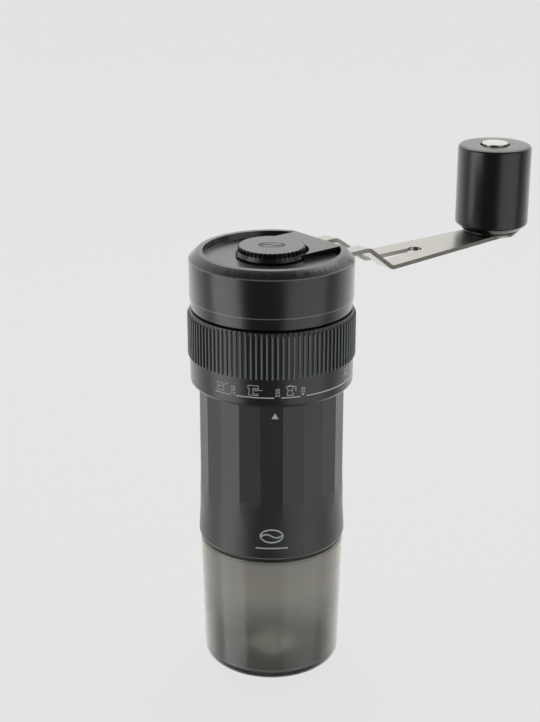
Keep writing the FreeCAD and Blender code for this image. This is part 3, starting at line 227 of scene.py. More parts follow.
# Silicone rubber: the cup's sealing ring, dull black with a bloom.
silicone = moulded("Silicone rubber, moulded, black", "0C0D0D", "191A1A", 0.62, 0.5, 0.02, drift_mm=4.0,
                   IOR=1.41)
print("moulded materials:", len(bpy.data.materials))

# %% [markdown]
# Metals show how they were worked. Brushing leaves long parallel scratches, so a noise is stretched along
# the brushing direction. Grinding a bar leaves them round its axis. Hidden pieces such as the bearing and
# the clips get the same care, because the model can be opened up.

# %% Worked metal
# Size of the slow clouds in a metal's colour.
CLOUD_MM = 8.0


def worked(name, dark, light, rough, stretch, turn_deg=0.0, relief_mm=0.01):
    """`stretch` is a scratch's size in millimetres along X, Y and Z, after turning the pattern about Z."""
    made, tree, shader = blank(name, Metallic=1.0)
    place = add_node(tree, "TexCoord").outputs["Object"]
    turned_to = add_node(tree, "Mapping", {"vector_type": "TEXTURE"}, Vector=place,
                         Rotation=(0.0, 0.0, math.radians(turn_deg)), Scale=[s * MM for s in stretch])
    scratch = add_node(tree, "TexNoise", Vector=turned_to.outputs["Vector"], Scale=1.0, Detail=4.0,
                       Roughness=0.65)
    cloud = add_node(tree, "TexNoise", Vector=place, Scale=1 / (CLOUD_MM * MM), Detail=2.0)
    both = add_node(tree, "Math", {"operation": "MULTIPLY_ADD"}, i0=cloud.outputs["Fac"], i1=0.35,
                    i2=scratch.outputs["Fac"])
    share = add_node(tree, "MapRange", Value=both.outputs["Value"], From_Min=0.35, From_Max=1.0)
    colour = add_node(tree, "Mix", COLOURS, i0=share.outputs["Result"], i6=paint(dark), i7=paint(light))
    sheen = add_node(tree, "MapRange", Value=scratch.outputs["Fac"], To_Min=rough - 0.08, To_Max=rough + 0.08)
    relief = add_node(tree, "Bump", Height=scratch.outputs["Fac"], Strength=0.3, Distance=relief_mm * MM)
    dress(tree, shader, colour, sheen, relief)
    return made


print("a metal's colour drifts over", CLOUD_MM, "mm")

# %% [markdown]
# The same recipe serves every metal of the grinder. The colour says which metal it is: steels are neutral
# greys, plating is bluish, bronze and brass are warm. The scratch's three lengths say how it was worked: long
# along X for a strip brushed along its length, short along Z for a bar that was turned or ground, equal for a
# casting. Real scratches are a few hundredths of a millimetre wide, too fine to show, so the finest here
# are drawn 0.2 to 0.35 mm wide.

# %% Steels, zinc, bronze and brass
# Stainless strip, brushed along its length: a warm light grey with fine streaks.
brushed_strip = worked("Stainless steel, brushed strip", "8A8882", "A3A19A", 0.3, (9, 0.35, 0.35), CRANK_DEG)
# Stainless, ground: the shaft and the key, brighter, with scratches round the axis.
ground_steel = worked("Stainless steel, ground bar", "A5A5A6", "C3C3C4", 0.25, (3, 3, 0.25))
# Hardened burr steel: grey, ground, with a trace of oil.
burr_steel = worked("Steel, hardened and ground burrs", "77787A", "9A9B9D", 0.3, (2, 0.5, 4))
# Bearing steel: mirror-like races and balls.
bearing_steel = worked("Bearing steel, lapped", "B4B4B6", "D0D0D2", 0.12, (2, 2, 0.3), relief_mm=0.003)
# Phosphated spring steel: nearly black clips.
black_spring = worked("Spring steel, phosphated", "2B2B2A", "3C3C3B", 0.45, (0.6, 0.6, 0.6))
# Bright spring steel: the detent leaf and the conical washers, drawn and tempered straw-grey.
bright_spring = worked("Spring steel, bright rolled", "8E8C86", "ABA9A2", 0.3, (4, 4, 0.3))
# Zinc plated screws and rivets: slightly blue and mottled.
zinc_plate = worked("Steel, zinc plated", "9BA0A6", "B9BEC4", 0.32, (0.8, 0.8, 0.8))
# Die cast zinc: soft grey with a flow pattern.
cast_zinc = worked("Zinc alloy, die cast", "84878A", "9FA2A5", 0.42, (1.5, 1.5, 1.5), relief_mm=0.03)
# Deep drawn liner: vertical drawing marks.
drawn_liner = worked("Stainless steel, deep drawn", "9C9C9B", "B9B9B8", 0.3, (0.4, 0.4, 8))
# Sintered bronze and turned brass: warm colours, pores in the first and turning marks in the second.
bronze = worked("Bronze, sintered", "8A6A42", "A8855A", 0.42, (0.3, 0.3, 0.3), relief_mm=0.03)
brass = worked("Brass, turned", "B08D4C", "CDAA62", 0.25, (3, 3, 0.2))
print("materials so far:", len(bpy.data.materials))

# %% [markdown]
# The pin's head faces the eye, so its lathe rings matter. A wave texture in rings, centred on the pin with
# a Mapping node, gives them. The rings are 0.25 mm apart, a coarse facing cut.

# %% Faced pin head
# A wave texture of this scale, divided by a length, repeats once in that length.
ONE_WAVE = 0.314
FACING_MM = 0.25


def faced(name, dark, light, rough):
    """Metal with rings from a facing cut round the pin's axis."""
    made, tree, shader = blank(name, Metallic=1.0)
    place = add_node(tree, "TexCoord").outputs["Object"]
    centred = add_node(tree, "Mapping", Vector=place, Location=(-PIN_X * MM, -PIN_Y * MM, 0.0))
    rings = add_node(tree, "TexWave", {"wave_type": "RINGS", "rings_direction": "Z"},
                     Vector=centred.outputs["Vector"], Scale=ONE_WAVE / (FACING_MM * MM), Distortion=0.3,
                     Detail=2.0)
    colour = add_node(tree, "Mix", COLOURS, i0=rings.outputs["Fac"], i6=paint(dark), i7=paint(light))
    relief = add_node(tree, "Bump", Height=rings.outputs["Fac"], Strength=0.25, Distance=0.01 * MM)
    sheen = add_node(tree, "MapRange", Value=rings.outputs["Fac"], To_Min=rough - 0.04, To_Max=rough + 0.06)
    dress(tree, shader, colour, sheen, relief)
    return made


# Stainless steel, faced on a lathe: bright, a little warm, with fine rings.
faced_steel = faced("Stainless steel, faced on a lathe", "9A9892", "B4B2AC", 0.24)
print("pin head:", faced_steel.name)

# %% [markdown]
# The grounds cup is smoked copolyester with a frosted outside, so light goes through it but is scattered on
# the way. Low down the wall lets most of the light through. Higher up it lets less through, and so hides
# the burrs' frame that reaches into it. A ray crosses the wall by two faces and takes the tint from both,
# so the wall's colour is given paler than the cup looks. The floor is painted darker, as painted shade
# under the cup, and its square pad paler, as painted light coming through from beneath.

# %% Frosted smoked copolyester
CUP_FLOOR = CUP_FOOT + 2.4
PAD_SIDE = 17.0
# The pad is turned by 45 degrees, so its edge is where |x| + |y| is half its diagonal.
PAD_REACH = PAD_SIDE / math.sqrt(2)
TINT_Z = (5.0, 42.0)
CLOUDING_Z = (20.0, 36.0)


def frosted_cup():
    """Smoked plastic that is clear low down and cloudy higher up, with painted shade on its floor and painted
    light on its pad.
    """
    made, tree, shader = blank("Copolyester, smoked, frosted mould", IOR=1.56, Specular_IOR_Level=0.15)
    place = add_node(tree, "TexCoord").outputs["Object"]
    grain = add_node(tree, "TexNoise", Vector=place, Scale=1 / (0.35 * MM), Detail=2.0)
    drift = add_node(tree, "TexNoise", Vector=place, Scale=1 / (16 * MM), Detail=2.0)
    part = add_node(tree, "SeparateXYZ", Vector=place)
    height = part.outputs["Z"]
    rise = add_node(tree, "MapRange", Value=height, From_Min=TINT_Z[0] * MM, From_Max=TINT_Z[1] * MM)
    flow = add_node(tree, "Math", {"operation": "MULTIPLY_ADD"}, i0=drift.outputs["Fac"], i1=0.15,
                    i2=rise.outputs["Result"])
    wall = add_node(tree, "Mix", COLOURS, i0=flow.outputs["Value"], i6=paint("ACADA8"), i7=paint("BFBCB2"))
    across = [add_node(tree, "Math", {"operation": "ABSOLUTE"}, i0=part.outputs[axis]) for axis in "XY"]
    diamond = add_node(tree, "Math", {"operation": "ADD"}, i0=across[0].outputs["Value"],
                       i1=across[1].outputs["Value"])
    on_pad = add_node(tree, "MapRange", Value=diamond.outputs["Value"], From_Min=(PAD_REACH - 0.42) * MM,
                      From_Max=(PAD_REACH + 0.18) * MM, To_Min=1.0, To_Max=0.0)
    # Painted shade on the cup's floor, and painted light on the pad in it.
    floor_shade_and_pad_light = add_node(tree, "Mix", COLOURS, i0=on_pad.outputs["Result"], i6=paint("3E423F"),
                          i7=paint("DADAD4"))
    above = add_node(tree, "MapRange", Value=height, From_Min=(CUP_FLOOR + 0.8) * MM,
                     From_Max=(CUP_FLOOR + 2.2) * MM)
    colour = add_node(tree, "Mix", COLOURS, i0=above.outputs["Result"], i6=floor_shade_and_pad_light.outputs[2],
                      i7=wall.outputs[2])
    clear = add_node(tree, "MapRange", Value=height, From_Min=CLOUDING_Z[0] * MM,
                     From_Max=CLOUDING_Z[1] * MM, To_Min=0.85, To_Max=0.3)
    tree.links.new(clear.outputs["Result"], shader.inputs["Transmission Weight"])
    sheen = add_node(tree, "MapRange", Value=drift.outputs["Fac"], To_Min=0.2, To_Max=0.25)
    relief = add_node(tree, "Bump", Height=grain.outputs["Fac"], Strength=0.3, Distance=0.02 * MM)
    dress(tree, shader, colour, sheen, relief)
    return made


frosted_smoke = frosted_cup()
print("cup:", frosted_smoke.name, "- pad's half diagonal in mm:", round(PAD_REACH, 2))

# %% [markdown]
# The scale and the marks are pad printed: a thin film of light grey ink, not quite even, with a low sheen.

# %% Printing ink
def pad_ink():
    """Light grey ink with small patches where it lies thinner."""
    made, tree, shader = blank("Pad printing ink, light grey", IOR=1.5)
    place = add_node(tree, "TexCoord").outputs["Object"]
    patch = add_node(tree, "TexNoise", Vector=place, Scale=1 / (0.5 * MM), Detail=3.0)
    colour = add_node(tree, "Mix", COLOURS, i0=patch.outputs["Fac"], i6=paint("C4CAC7"), i7=paint("E6EAE8"))
    sheen = add_node(tree, "MapRange", Value=patch.outputs["Fac"], To_Min=0.45, To_Max=0.6)
    tree.links.new(colour.outputs[2], shader.inputs["Base Color"])
    tree.links.new(sheen.outputs["Result"], shader.inputs["Roughness"])
    return made


ink = pad_ink()
print("all materials:", len(bpy.data.materials))

# %% [markdown]
# Nearly every outside piece of the grinder is round, as if turned on a lathe. Here a piece starts as a
# circle in edit mode. It is drawn up through its profile: one extrude and one resize for each step. A
# profile is a list of (radius, height, rounding) corners in millimetres, and `soften` puts a small arc in
# each corner.

# %% The lathe
def only(made):
    """Selects one object alone, so that operators act on nothing else."""
    bpy.ops.object.select_all(action="DESELECT")
    made.select_set(True)
    bpy.context.view_layer.objects.active = made


def soften(profile, closed, steps=5):
    """The profile with each corner that has a rounding replaced by a short arc."""
    most = 0.49  # an arc takes up just under half of the edges beside it
    points = []
    for i, (r, z, rounding) in enumerate(profile):
        here = Vector((r, z))
        inner = closed or 0 < i < len(profile) - 1
        if not rounding or not inner:
            points.append((r, z))
            continue
        before = Vector(profile[i - 1][:2]) - here
        after = Vector(profile[(i + 1) % len(profile)][:2]) - here
        reach = min(rounding, before.length * most, after.length * most)
        start = here + before.normalized() * reach
        end = here + after.normalized() * reach
        for k in range(steps + 1):
            t = k / steps
            spot = start * (1 - t) ** 2 + here * 2 * t * (1 - t) + end * t ** 2
            points.append((spot.x, spot.y))
    return points


def lathe(name, profile, sides, closed=True, at=(0.0, 0.0)):
    """A turned piece. Open profiles get a flat face over each end, and closed ones join up."""
    points = soften(profile, closed)
    if closed:
        points.append(points[0])
    bpy.ops.object.select_all(action="DESELECT")
    first_r, first_z = points[0]
    bpy.ops.mesh.primitive_circle_add(vertices=sides, radius=first_r * MM,
                                      location=(at[0] * MM, at[1] * MM, first_z * MM))
    made = bpy.context.object
    made.name = name
    bpy.ops.object.transform_apply(location=True, rotation=False, scale=False)
    bpy.ops.object.mode_set(mode="EDIT")
    bpy.ops.mesh.select_mode(type="VERT")
    bpy.ops.mesh.select_all(action="SELECT")
    if not closed:
        bpy.ops.mesh.edge_face_add()
    for (r0, z0), (r1, z1) in zip(points, points[1:]):
        bpy.ops.mesh.extrude_region_move(TRANSFORM_OT_translate={"value": (0, 0, (z1 - z0) * MM)})
        bpy.ops.transform.resize(value=(r1 / r0, r1 / r0, 1),
                                 center_override=(at[0] * MM, at[1] * MM, z1 * MM))
    bpy.ops.mesh.select_all(action="SELECT")
    bpy.ops.mesh.remove_doubles(threshold=0.002 * MM)
    bpy.ops.mesh.normals_make_consistent(inside=False)
    bpy.ops.object.mode_set(mode="OBJECT")
    return made


# %% [markdown]
# Every piece is finished the same way. Faces that meet at a small angle are shaded as one smooth surface.
# The piece then gets its material and the moving body that it rides on, and the engineering part that it
# is shown instead of is hidden.

# %% Finishing a piece
def smooth(made, degrees=30.0):
    """Shades faces that meet at less than this angle as one surface."""
    only(made)
    bpy.ops.object.shade_smooth_by_angle(angle=math.radians(degrees))


def finish(made, material, body, slot, *nodes):
    """Gives a piece its material and its moving body, and hides the engineering parts it stands for. `slot`
    is not used.
    """
    made.data.materials.clear()
    made.data.materials.append(material)
    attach(made, body)
    if nodes:
        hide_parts(*nodes)
    made.data.name = made.name
    print(made.name, "faces:", len(made.data.polygons))


# %% [markdown]
# The knob is one turned profile: a foot that flares out, a straight side, and a well rounded top edge that
# catches two short highlights. Its top is sunk round the pin's head, and a pocket at each end holds a bush.

# %% Knob
KNOB_FOOT, KNOB_TOP, KNOB_R = measure("crank_knob", PIN_AXIS)
BORE_R = 3.4
BUSH_R = 4.6
BUSH_H = 6.0
SINK_R = 5.9
SINK_Z = KNOB_TOP - 1.0
knob = lathe("knob", [
    (BUSH_R, KNOB_FOOT, 0),
    (KNOB_R - 2.7, KNOB_FOOT, 0.5),
    (KNOB_R - 0.3, KNOB_FOOT + 2.13, 0.5),
    (KNOB_R, KNOB_FOOT + 2.73, 0.4),
    (KNOB_R, KNOB_TOP, 1.7),
    (SINK_R, KNOB_TOP, 0.25),
    (SINK_R, SINK_Z, 0),
    (BUSH_R, SINK_Z, 0),
    (BUSH_R, SINK_Z - BUSH_H, 0),
    (BORE_R, SINK_Z - BUSH_H, 0),
    (BORE_R, KNOB_FOOT + BUSH_H, 0),
    (BUSH_R, KNOB_FOOT + BUSH_H, 0)], sides=160, at=PIN_AXIS)
smooth(knob)
finish(knob, gloss_abs, "crank_knob", "knob_abs", "crank_knob")

# %% [markdown]
# The pin that holds the knob is a headed steel rod. Its head stands a little proud of the sunk ring, with a
# small chamfer that shines. The collar is the thin washer between the knob and the arm.

# %% Pin and collar
PIN_FOOT, PIN_TOP, HEAD_R = measure("knob_pin", PIN_AXIS)
PIN_R = 3.0
PIN_CORE_R = 0.8
HEAD_Z = PIN_TOP - 1.5
RIVET_R = 4.4
RIVET_Z = PIN_FOOT + 0.88
pin = lathe("knob_pin_turned", [
    (PIN_CORE_R, PIN_FOOT, 0),
    (RIVET_R - 0.8, PIN_FOOT, 0.2),
    (RIVET_R, RIVET_Z, 0.1),
    (PIN_R, RIVET_Z, 0),
    (PIN_R, HEAD_Z, 0),
    (HEAD_R - 0.15, HEAD_Z, 0),
    (HEAD_R, HEAD_Z + 0.2, 0),
    (HEAD_R, PIN_TOP, 0.45),
    (PIN_CORE_R, PIN_TOP, 0)], sides=96, closed=False, at=PIN_AXIS)
smooth(pin)
finish(pin, faced_steel, "crank_head", "pin_steel", "knob_pin")

COLLAR_FOOT, COLLAR_TOP, COLLAR_R = measure("knob_collar", PIN_AXIS)
COLLAR_BORE_R = PIN_R + 0.05
collar = lathe("knob_collar_ring", [
    (COLLAR_BORE_R, COLLAR_FOOT, 0),
    (COLLAR_R, COLLAR_FOOT, 0.2),
    (COLLAR_R, COLLAR_TOP, 0.2),
    (COLLAR_BORE_R, COLLAR_TOP, 0)], sides=128, at=PIN_AXIS)
smooth(collar)
finish(collar, cap_abs, "crank_knob", "collar_abs", "knob_collar")

# %% [markdown]
# Ribs and teeth are cut after turning. The circle gets a fixed number of columns for each rib, and the
# columns that make up a groove are scaled towards the axis, one loop at a time. One resize moves all
# hundred grooves.

# %% Cutting grooves
HEIGHT_SLACK = 0.004
RADIUS_SLACK = 0.02


def groove(made, ribs, columns, moved, z_mm, crest, root):
    """In the loop at one height, brings the columns in `moved` of every rib from crest to root radius."""
    pitch = 2 * math.pi / ribs
    only(made)
    bpy.ops.object.mode_set(mode="EDIT")
    bpy.ops.mesh.select_all(action="DESELECT")
    bpy.ops.object.mode_set(mode="OBJECT")
    for v in made.data.vertices:
        column = round((math.atan2(v.co.y, v.co.x) % pitch) / pitch * columns) % columns
        at_height = abs(v.co.z - z_mm * MM) < HEIGHT_SLACK * MM
        at_crest = abs(math.hypot(v.co.x, v.co.y) - crest * MM) < RADIUS_SLACK * MM
        v.select = at_height and at_crest and column in moved
    bpy.ops.object.mode_set(mode="EDIT")
    bpy.ops.transform.resize(value=(root / crest, root / crest, 1), center_override=(0, 0, z_mm * MM))
    bpy.ops.object.mode_set(mode="OBJECT")


# %% [markdown]
# The adjusting ring: a smooth band with the scale below, a hundred narrow ribs above, and a bevelled top
# edge where the grooves run out. Twelve columns per rib make a narrow rounded crest and a wide dark groove.
# The crest is rounded by moving its outer columns in a little, so that each rib catches the light
# somewhere.

# %% Adjusting ring
RIBS = 100
RIB_COLUMNS = 12
RIB_GROOVE = range(5, 12)
GROOVE_R = 30.05
BAND_R = 30.0
BAND_TOP = RING_FOOT + 10.8
RING_BORE_R = 27.4
POCKET_R = 28.9
POCKET_FOOT = RING_FOOT + 11.0
POCKET_TOP = RING_FOOT + 22.8
LIP_R = 28.7
LIP_Z = RING_TOP - 2.3
rib_loops = [(RIB_R - 0.2, BAND_TOP), (RIB_R, BAND_TOP + 0.3), (RIB_R, RING_TOP - 1.8),
             (RIB_R - 0.35, RING_TOP - 1.2)]
below_ribs = [(RING_BORE_R, RING_FOOT, 0), (BAND_R - 0.9, RING_FOOT, 0.3),
              (BAND_R - 0.1, RING_FOOT + 1.0, 0.3), (BAND_R, BAND_TOP, 0)]
above_ribs = [(BAND_R - 0.2, RING_TOP, 0.25), (LIP_R, RING_TOP, 0.2), (LIP_R, LIP_Z, 0)]
bore = [(RING_BORE_R, LIP_Z, 0), (RING_BORE_R, POCKET_TOP, 0), (POCKET_R, POCKET_TOP, 0),
        (POCKET_R, POCKET_FOOT, 0), (RING_BORE_R, POCKET_FOOT, 0)]
ring = lathe("ring", below_ribs + [(r, z, 0) for r, z in rib_loops] + above_ribs + bore,
             sides=RIBS * RIB_COLUMNS)
for crest, z_mm in rib_loops:
    groove(ring, RIBS, RIB_COLUMNS, RIB_GROOVE, z_mm, crest, GROOVE_R)
    groove(ring, RIBS, RIB_COLUMNS, (0, 4), z_mm, crest, crest - 0.2)
    groove(ring, RIBS, RIB_COLUMNS, (1, 3), z_mm, crest, crest - 0.05)
smooth(ring, 50)
finish(ring, ring_abs, "adjust_ring", "ring_abs", "adjust_ring")

# %% [markdown]
# The thumb nut has a flared skirt, a low toothed rim and a flat top. Its hollow boss goes down through the
# cap. The boss's groove, where a clip sits, is part of the same profile.

# %% Thumb nut
TEETH = 44
TOOTH_COLUMNS = 6
TOOTH_GROOVE = range(3, 6)
TOOTH_ROOT_R = 11.6
NUT_FOOT, NUT_TOP, SKIRT_R = measure("thumb_nut")
SKIRT_Z = NUT_FOOT + 5.1
STUD_BORE_R = 2.58
BOSS_R = 6.0
CLIP_R = 5.4
CLIP_FOOT = NUT_FOOT + 0.5
CLIP_TOP = CLIP_FOOT + 0.8
tooth_loops = [(12.24, NUT_TOP - 1.7), (12.2, NUT_TOP - 0.45), (11.9, NUT_TOP)]
boss = [(STUD_BORE_R, NUT_FOOT + 4.9, 0), (STUD_BORE_R, NUT_FOOT, 0), (BOSS_R, NUT_FOOT, 0.2),
        (BOSS_R, CLIP_FOOT, 0), (CLIP_R, CLIP_FOOT, 0), (CLIP_R, CLIP_TOP, 0), (BOSS_R, CLIP_TOP, 0)]
skirt = [(BOSS_R, SKIRT_Z, 0), (SKIRT_R - 0.3, SKIRT_Z, 0.2), (SKIRT_R, SKIRT_Z + 0.3, 0.15),
         (12.25, NUT_TOP - 1.75, 0)]
nut = lathe("thumb_nut_turned", boss + skirt + [(r, z, 0) for r, z in tooth_loops] + [(11.2, NUT_TOP, 0)],
            sides=TEETH * TOOTH_COLUMNS, closed=False)
for crest, z_mm in tooth_loops:
    groove(nut, TEETH, TOOTH_COLUMNS, TOOTH_GROOVE, z_mm, crest, TOOTH_ROOT_R)
smooth(nut, 28)
finish(nut, cap_abs, "thumb_nut", "nut_abs", "thumb_nut")

# %% [markdown]
# The grounds cup tapers a little towards its foot and has a wide rounding under it. The square pad in its
# floor is a small block, turned by 45 degrees and joined on with a Boolean modifier, so the wall stays one
# closed skin and light refracts through it properly.

# %% Grounds cup
CUP_BORE_R = 25.1
FLOOR_START_R = 6.0
PAD_T = 1.2
PAD_Z = CUP_FLOOR - 0.1
cup = lathe("cup", [
    (FLOOR_START_R, CUP_FOOT, 0),
    (CUP_R - 1.2, CUP_FOOT, 4.6),
    (CUP_R, CUP_TOP - 1.1, 0.4),
    (CUP_R - 0.5, CUP_TOP, 0.3),
    (CUP_BORE_R, CUP_TOP, 0.3),
    (CUP_BORE_R, CUP_TOP - 9.0, 0.4),
    (CUP_BORE_R - 1.2, CUP_FLOOR, 3.2),
    (FLOOR_START_R, CUP_FLOOR, 0)], sides=192, closed=False)
bpy.ops.object.select_all(action="DESELECT")
bpy.ops.mesh.primitive_cube_add(size=1, location=(0, 0, PAD_Z * MM))
pad = bpy.context.object
bpy.ops.transform.resize(value=(PAD_SIDE * MM, PAD_SIDE * MM, PAD_T * MM))
bpy.ops.transform.rotate(value=math.radians(45), orient_axis="Z", center_override=(0, 0, PAD_Z * MM))
bpy.ops.object.transform_apply(location=True, rotation=True, scale=True)
joined = cup.modifiers.new("pad", "BOOLEAN")
joined.operation = "UNION"
joined.object = pad
only(cup)
bpy.ops.object.modifier_apply(modifier="pad")
bpy.data.objects.remove(pad)
smooth(cup)
finish(cup, frosted_smoke, "grounds_cup", "smoked_cup", "grounds_cup")

# %% [markdown]
# The faceted sleeve, the cap and the arm have shapes that a lathe can't make. Their engineering meshes are
# exact, but sharp: a real moulding or stamping has a tiny radius on every edge, and that is what catches
# the light. So a copy is merged, its flat triangles are dissolved into whole faces, and a Bevel modifier
# rounds its edges.

# %% Rounding a copy
MERGE_MM = 0.004
FLAT_DEG = 0.6


def rounded_copy(name, node, width_mm, bevel_deg):
    """An engineering part's mesh as a new piece with small rounded edges."""
    made = bpy.data.objects.new(name, frame["nodes"][node].data.copy())
    bpy.context.scene.collection.objects.link(made)
    only(made)
    bpy.ops.object.mode_set(mode="EDIT")
    bpy.ops.mesh.customdata_custom_splitnormals_clear()
    bpy.ops.mesh.select_all(action="SELECT")
    bpy.ops.mesh.remove_doubles(threshold=MERGE_MM * MM)
    bpy.ops.mesh.dissolve_limited(angle_limit=math.radians(FLAT_DEG))
    bpy.ops.object.mode_set(mode="OBJECT")
    edge = made.modifiers.new("edge", "BEVEL")
    edge.width = width_mm * MM
    edge.segments = 2
    edge.limit_method = "ANGLE"
    edge.angle_limit = math.radians(bevel_deg)
    edge.harden_normals = True
    edge.miter_outer = "MITER_ARC"
    smooth(made, 35)
    bpy.ops.object.modifier_apply(modifier="edge")
    return made


sleeve = rounded_copy("sleeve", "body_sleeve", 0.35, 12)
finish(sleeve, satin_abs, "housing", "body_abs", "body_sleeve")
cap = rounded_copy("cap", "cap_shell", 0.2, 30)
finish(cap, cap_abs, "crank_head", "cap_abs", "cap_shell")
arm = rounded_copy("arm", "crank_arm", 0.22, 30)
finish(arm, brushed_strip, "crank_head", "arm_steel", "crank_arm")

# %% [markdown]
# Pad printing lies on the surface and follows it. Each mark is first drawn flat in front of the grinder, on
# the plane y = 0, from thin bars. A bar is a plane stretched from one point to the next and a little
# beyond, so that neighbours overlap.

# %% Drawing with bars
# How much of its width a bar runs on beyond its two ends together.
OVERLAP = 0.9


def bars(name, strokes, width):
    """Flat strokes, drawn as thin rectangles between points (x, z) in millimetres, on the plane y = 0."""
    bpy.ops.object.select_all(action="DESELECT")
    made = []
    for line in strokes:
        for (x0, z0), (x1, z1) in zip(line, line[1:]):
            length = math.hypot(x1 - x0, z1 - z0) + width * OVERLAP
            middle = ((x0 + x1) / 2 * MM, 0, (z0 + z1) / 2 * MM)
            bpy.ops.mesh.primitive_plane_add(size=1, location=middle, rotation=(math.pi / 2, 0, 0))
            bar = bpy.context.object
            bar.scale = (length * MM, width * MM, 1)
            bar.rotation_euler = (math.pi / 2, -math.atan2(z1 - z0, x1 - x0), 0)
            made.append(bar)
    bpy.ops.object.select_all(action="DESELECT")
    for bar in made:
        bar.select_set(True)
    bpy.context.view_layer.objects.active = made[0]
    bpy.ops.object.transform_apply(location=True, rotation=True, scale=True)
    if len(made) > 1:
        bpy.ops.object.join()
    made[0].name = name
    return made[0]


# %% [markdown]
# The flat drawing is then cut finely enough to bend, turned to its place round the axis, and thrown onto
# the surface with a Shrinkwrap modifier that projects straight back. Solidify gives the film of ink its
# thickness.

# %% Wrapping a drawing onto a surface
INK_LIFT = 0.02
INK_T = 0.03
# A drawing starts this far in front of the surface.
STAND_OFF = 1.5


def printed(made, surface, radius, angle_deg, body, slot, cuts):
    """Turns a flat drawing to its place round the axis and wraps it onto a surface as a film of ink."""
    only(made)
    bpy.ops.object.mode_set(mode="EDIT")
    bpy.ops.mesh.select_all(action="SELECT")
    bpy.ops.mesh.subdivide(number_cuts=cuts)
    bpy.ops.transform.translate(value=(0, -(radius + STAND_OFF) * MM, 0))
    bpy.ops.object.mode_set(mode="OBJECT")
    made.rotation_euler = (0, 0, math.radians(angle_deg))
    bpy.context.view_layer.update()
    wrap = made.modifiers.new("wrap", "SHRINKWRAP")
    wrap.wrap_method = "PROJECT"
    wrap.use_project_y = True
    wrap.use_positive_direction = True
    wrap.target = surface
    wrap.offset = INK_LIFT * MM
    film = made.modifiers.new("film", "SOLIDIFY")
    film.thickness = INK_T * MM
    film.offset = 1
    bpy.ops.object.modifier_apply(modifier="wrap")
    bpy.ops.object.modifier_apply(modifier="film")
    bpy.ops.object.transform_apply(location=False, rotation=True, scale=False)
    finish(made, ink, body, slot)


# %% [markdown]
# The scale is one line round the band, broken where the numbers stand. A straight run is drawn in short
# steps, so that it can lie on a curve. Its ends are given as angles round the band.

# %% Scale line
SCALE_Z = RING_FOOT + 3.95
SCALE_RUNS_DEG = [(-41.2, -29.8), (-24.1, 1.3), (6.9, 19.2), (24.6, 76.0)]


def on_band(angle_deg):
    """How far to the side an angle round the band's lower part lies, seen from the front."""
    return (BAND_R - 0.04) * math.sin(math.radians(angle_deg))


def in_steps(start, end, steps):
    """A straight run between two points, cut into short pieces."""
    (x0, z0), (x1, z1) = start, end
    return [(x0 + (x1 - x0) * i / steps, z0 + (z1 - z0) * i / steps) for i in range(steps + 1)]


runs = [in_steps((on_band(a), SCALE_Z), (on_band(b), SCALE_Z), 12) for a, b in SCALE_RUNS_DEG]
scale_line = bars("scale_line", runs, 0.42)
printed(scale_line, ring, BAND_R, 0, "adjust_ring", "ring_abs", cuts=3)

# %% [markdown]
# Small pictures stand on the line and say what each grind is for. They show, in plain outline, a
# long-handled pot, a pump machine, a stove-top pot and a paper filter. Each is a few strokes in millimetres
# from its foot.

# %% Pictures on the scale
PICTURE_Z = RING_FOOT + 4.7
LONG_POT = [[(-1.9, 3.0), (-1.3, 1.9), (-1.9, 0.2), (1.0, 0.2), (0.8, 1.9), (0.9, 3.0), (-1.9, 3.0)],
            [(0.9, 2.4), (2.9, 3.4)],
            [(-1.5, 1.7), (0.8, 1.7)]]
PUMP_MACHINE = [[(-2.2, 3.7), (1.5, 3.7), (1.5, 2.6), (-0.4, 2.6), (-0.4, 0.6), (1.4, 0.6), (1.4, 0.1),
                 (-2.1, 0.1), (-1.7, 2.5), (-2.2, 2.5), (-2.2, 3.7)],
                [(0.2, 2.5), (0.2, 1.9), (1.2, 1.9), (1.2, 2.5)],
                [(1.2, 2.1), (2.9, 2.1)]]
STOVE_POT = [[(-1.5, 3.4), (1.1, 3.4), (0.6, 1.9), (1.1, 0.1), (-1.3, 0.1), (-0.9, 1.9), (-1.5, 3.4)],
             [(-1.2, 3.4), (-0.2, 3.9), (0.9, 3.4)],
             [(-0.9, 1.9), (0.6, 1.9)],
             [(1.1, 3.2), (1.9, 3.2), (1.9, 1.6)]]
PAPER_FILTER = [[(-1.5, 4.3), (1.5, 4.3), (0.5, 2.3), (-0.5, 2.3), (-1.5, 4.3)],
                [(-1.4, 0.1), (1.4, 0.1), (1.4, 2.1), (-1.4, 2.1), (-1.4, 0.1)],
                [(-0.9, 3.2), (0.9, 3.2)]]
PICTURES = (("picture_long_pot", LONG_POT, -36.2), ("picture_pump", PUMP_MACHINE, -11.9),
            ("picture_stove_pot", STOVE_POT, 12.8), ("picture_filter", PAPER_FILTER, 62.6))
for name, picture, angle_deg in PICTURES:
    drawn = bars(name, [[(x, z + PICTURE_Z) for x, z in line] for line in picture], 0.2)
    printed(drawn, ring, BAND_R, angle_deg, "adjust_ring", "ring_abs", cuts=3)

# %% [markdown]
# The numbers only count clicks. They are text objects. Text is turned into a mesh before it is placed, then
# a quarter turn makes it read upwards, and it is wrapped like the pictures.

# %% Numbers on the scale
NUMBER_Z = RING_FOOT + 5.8
NUMBER_SIZE = 2.25


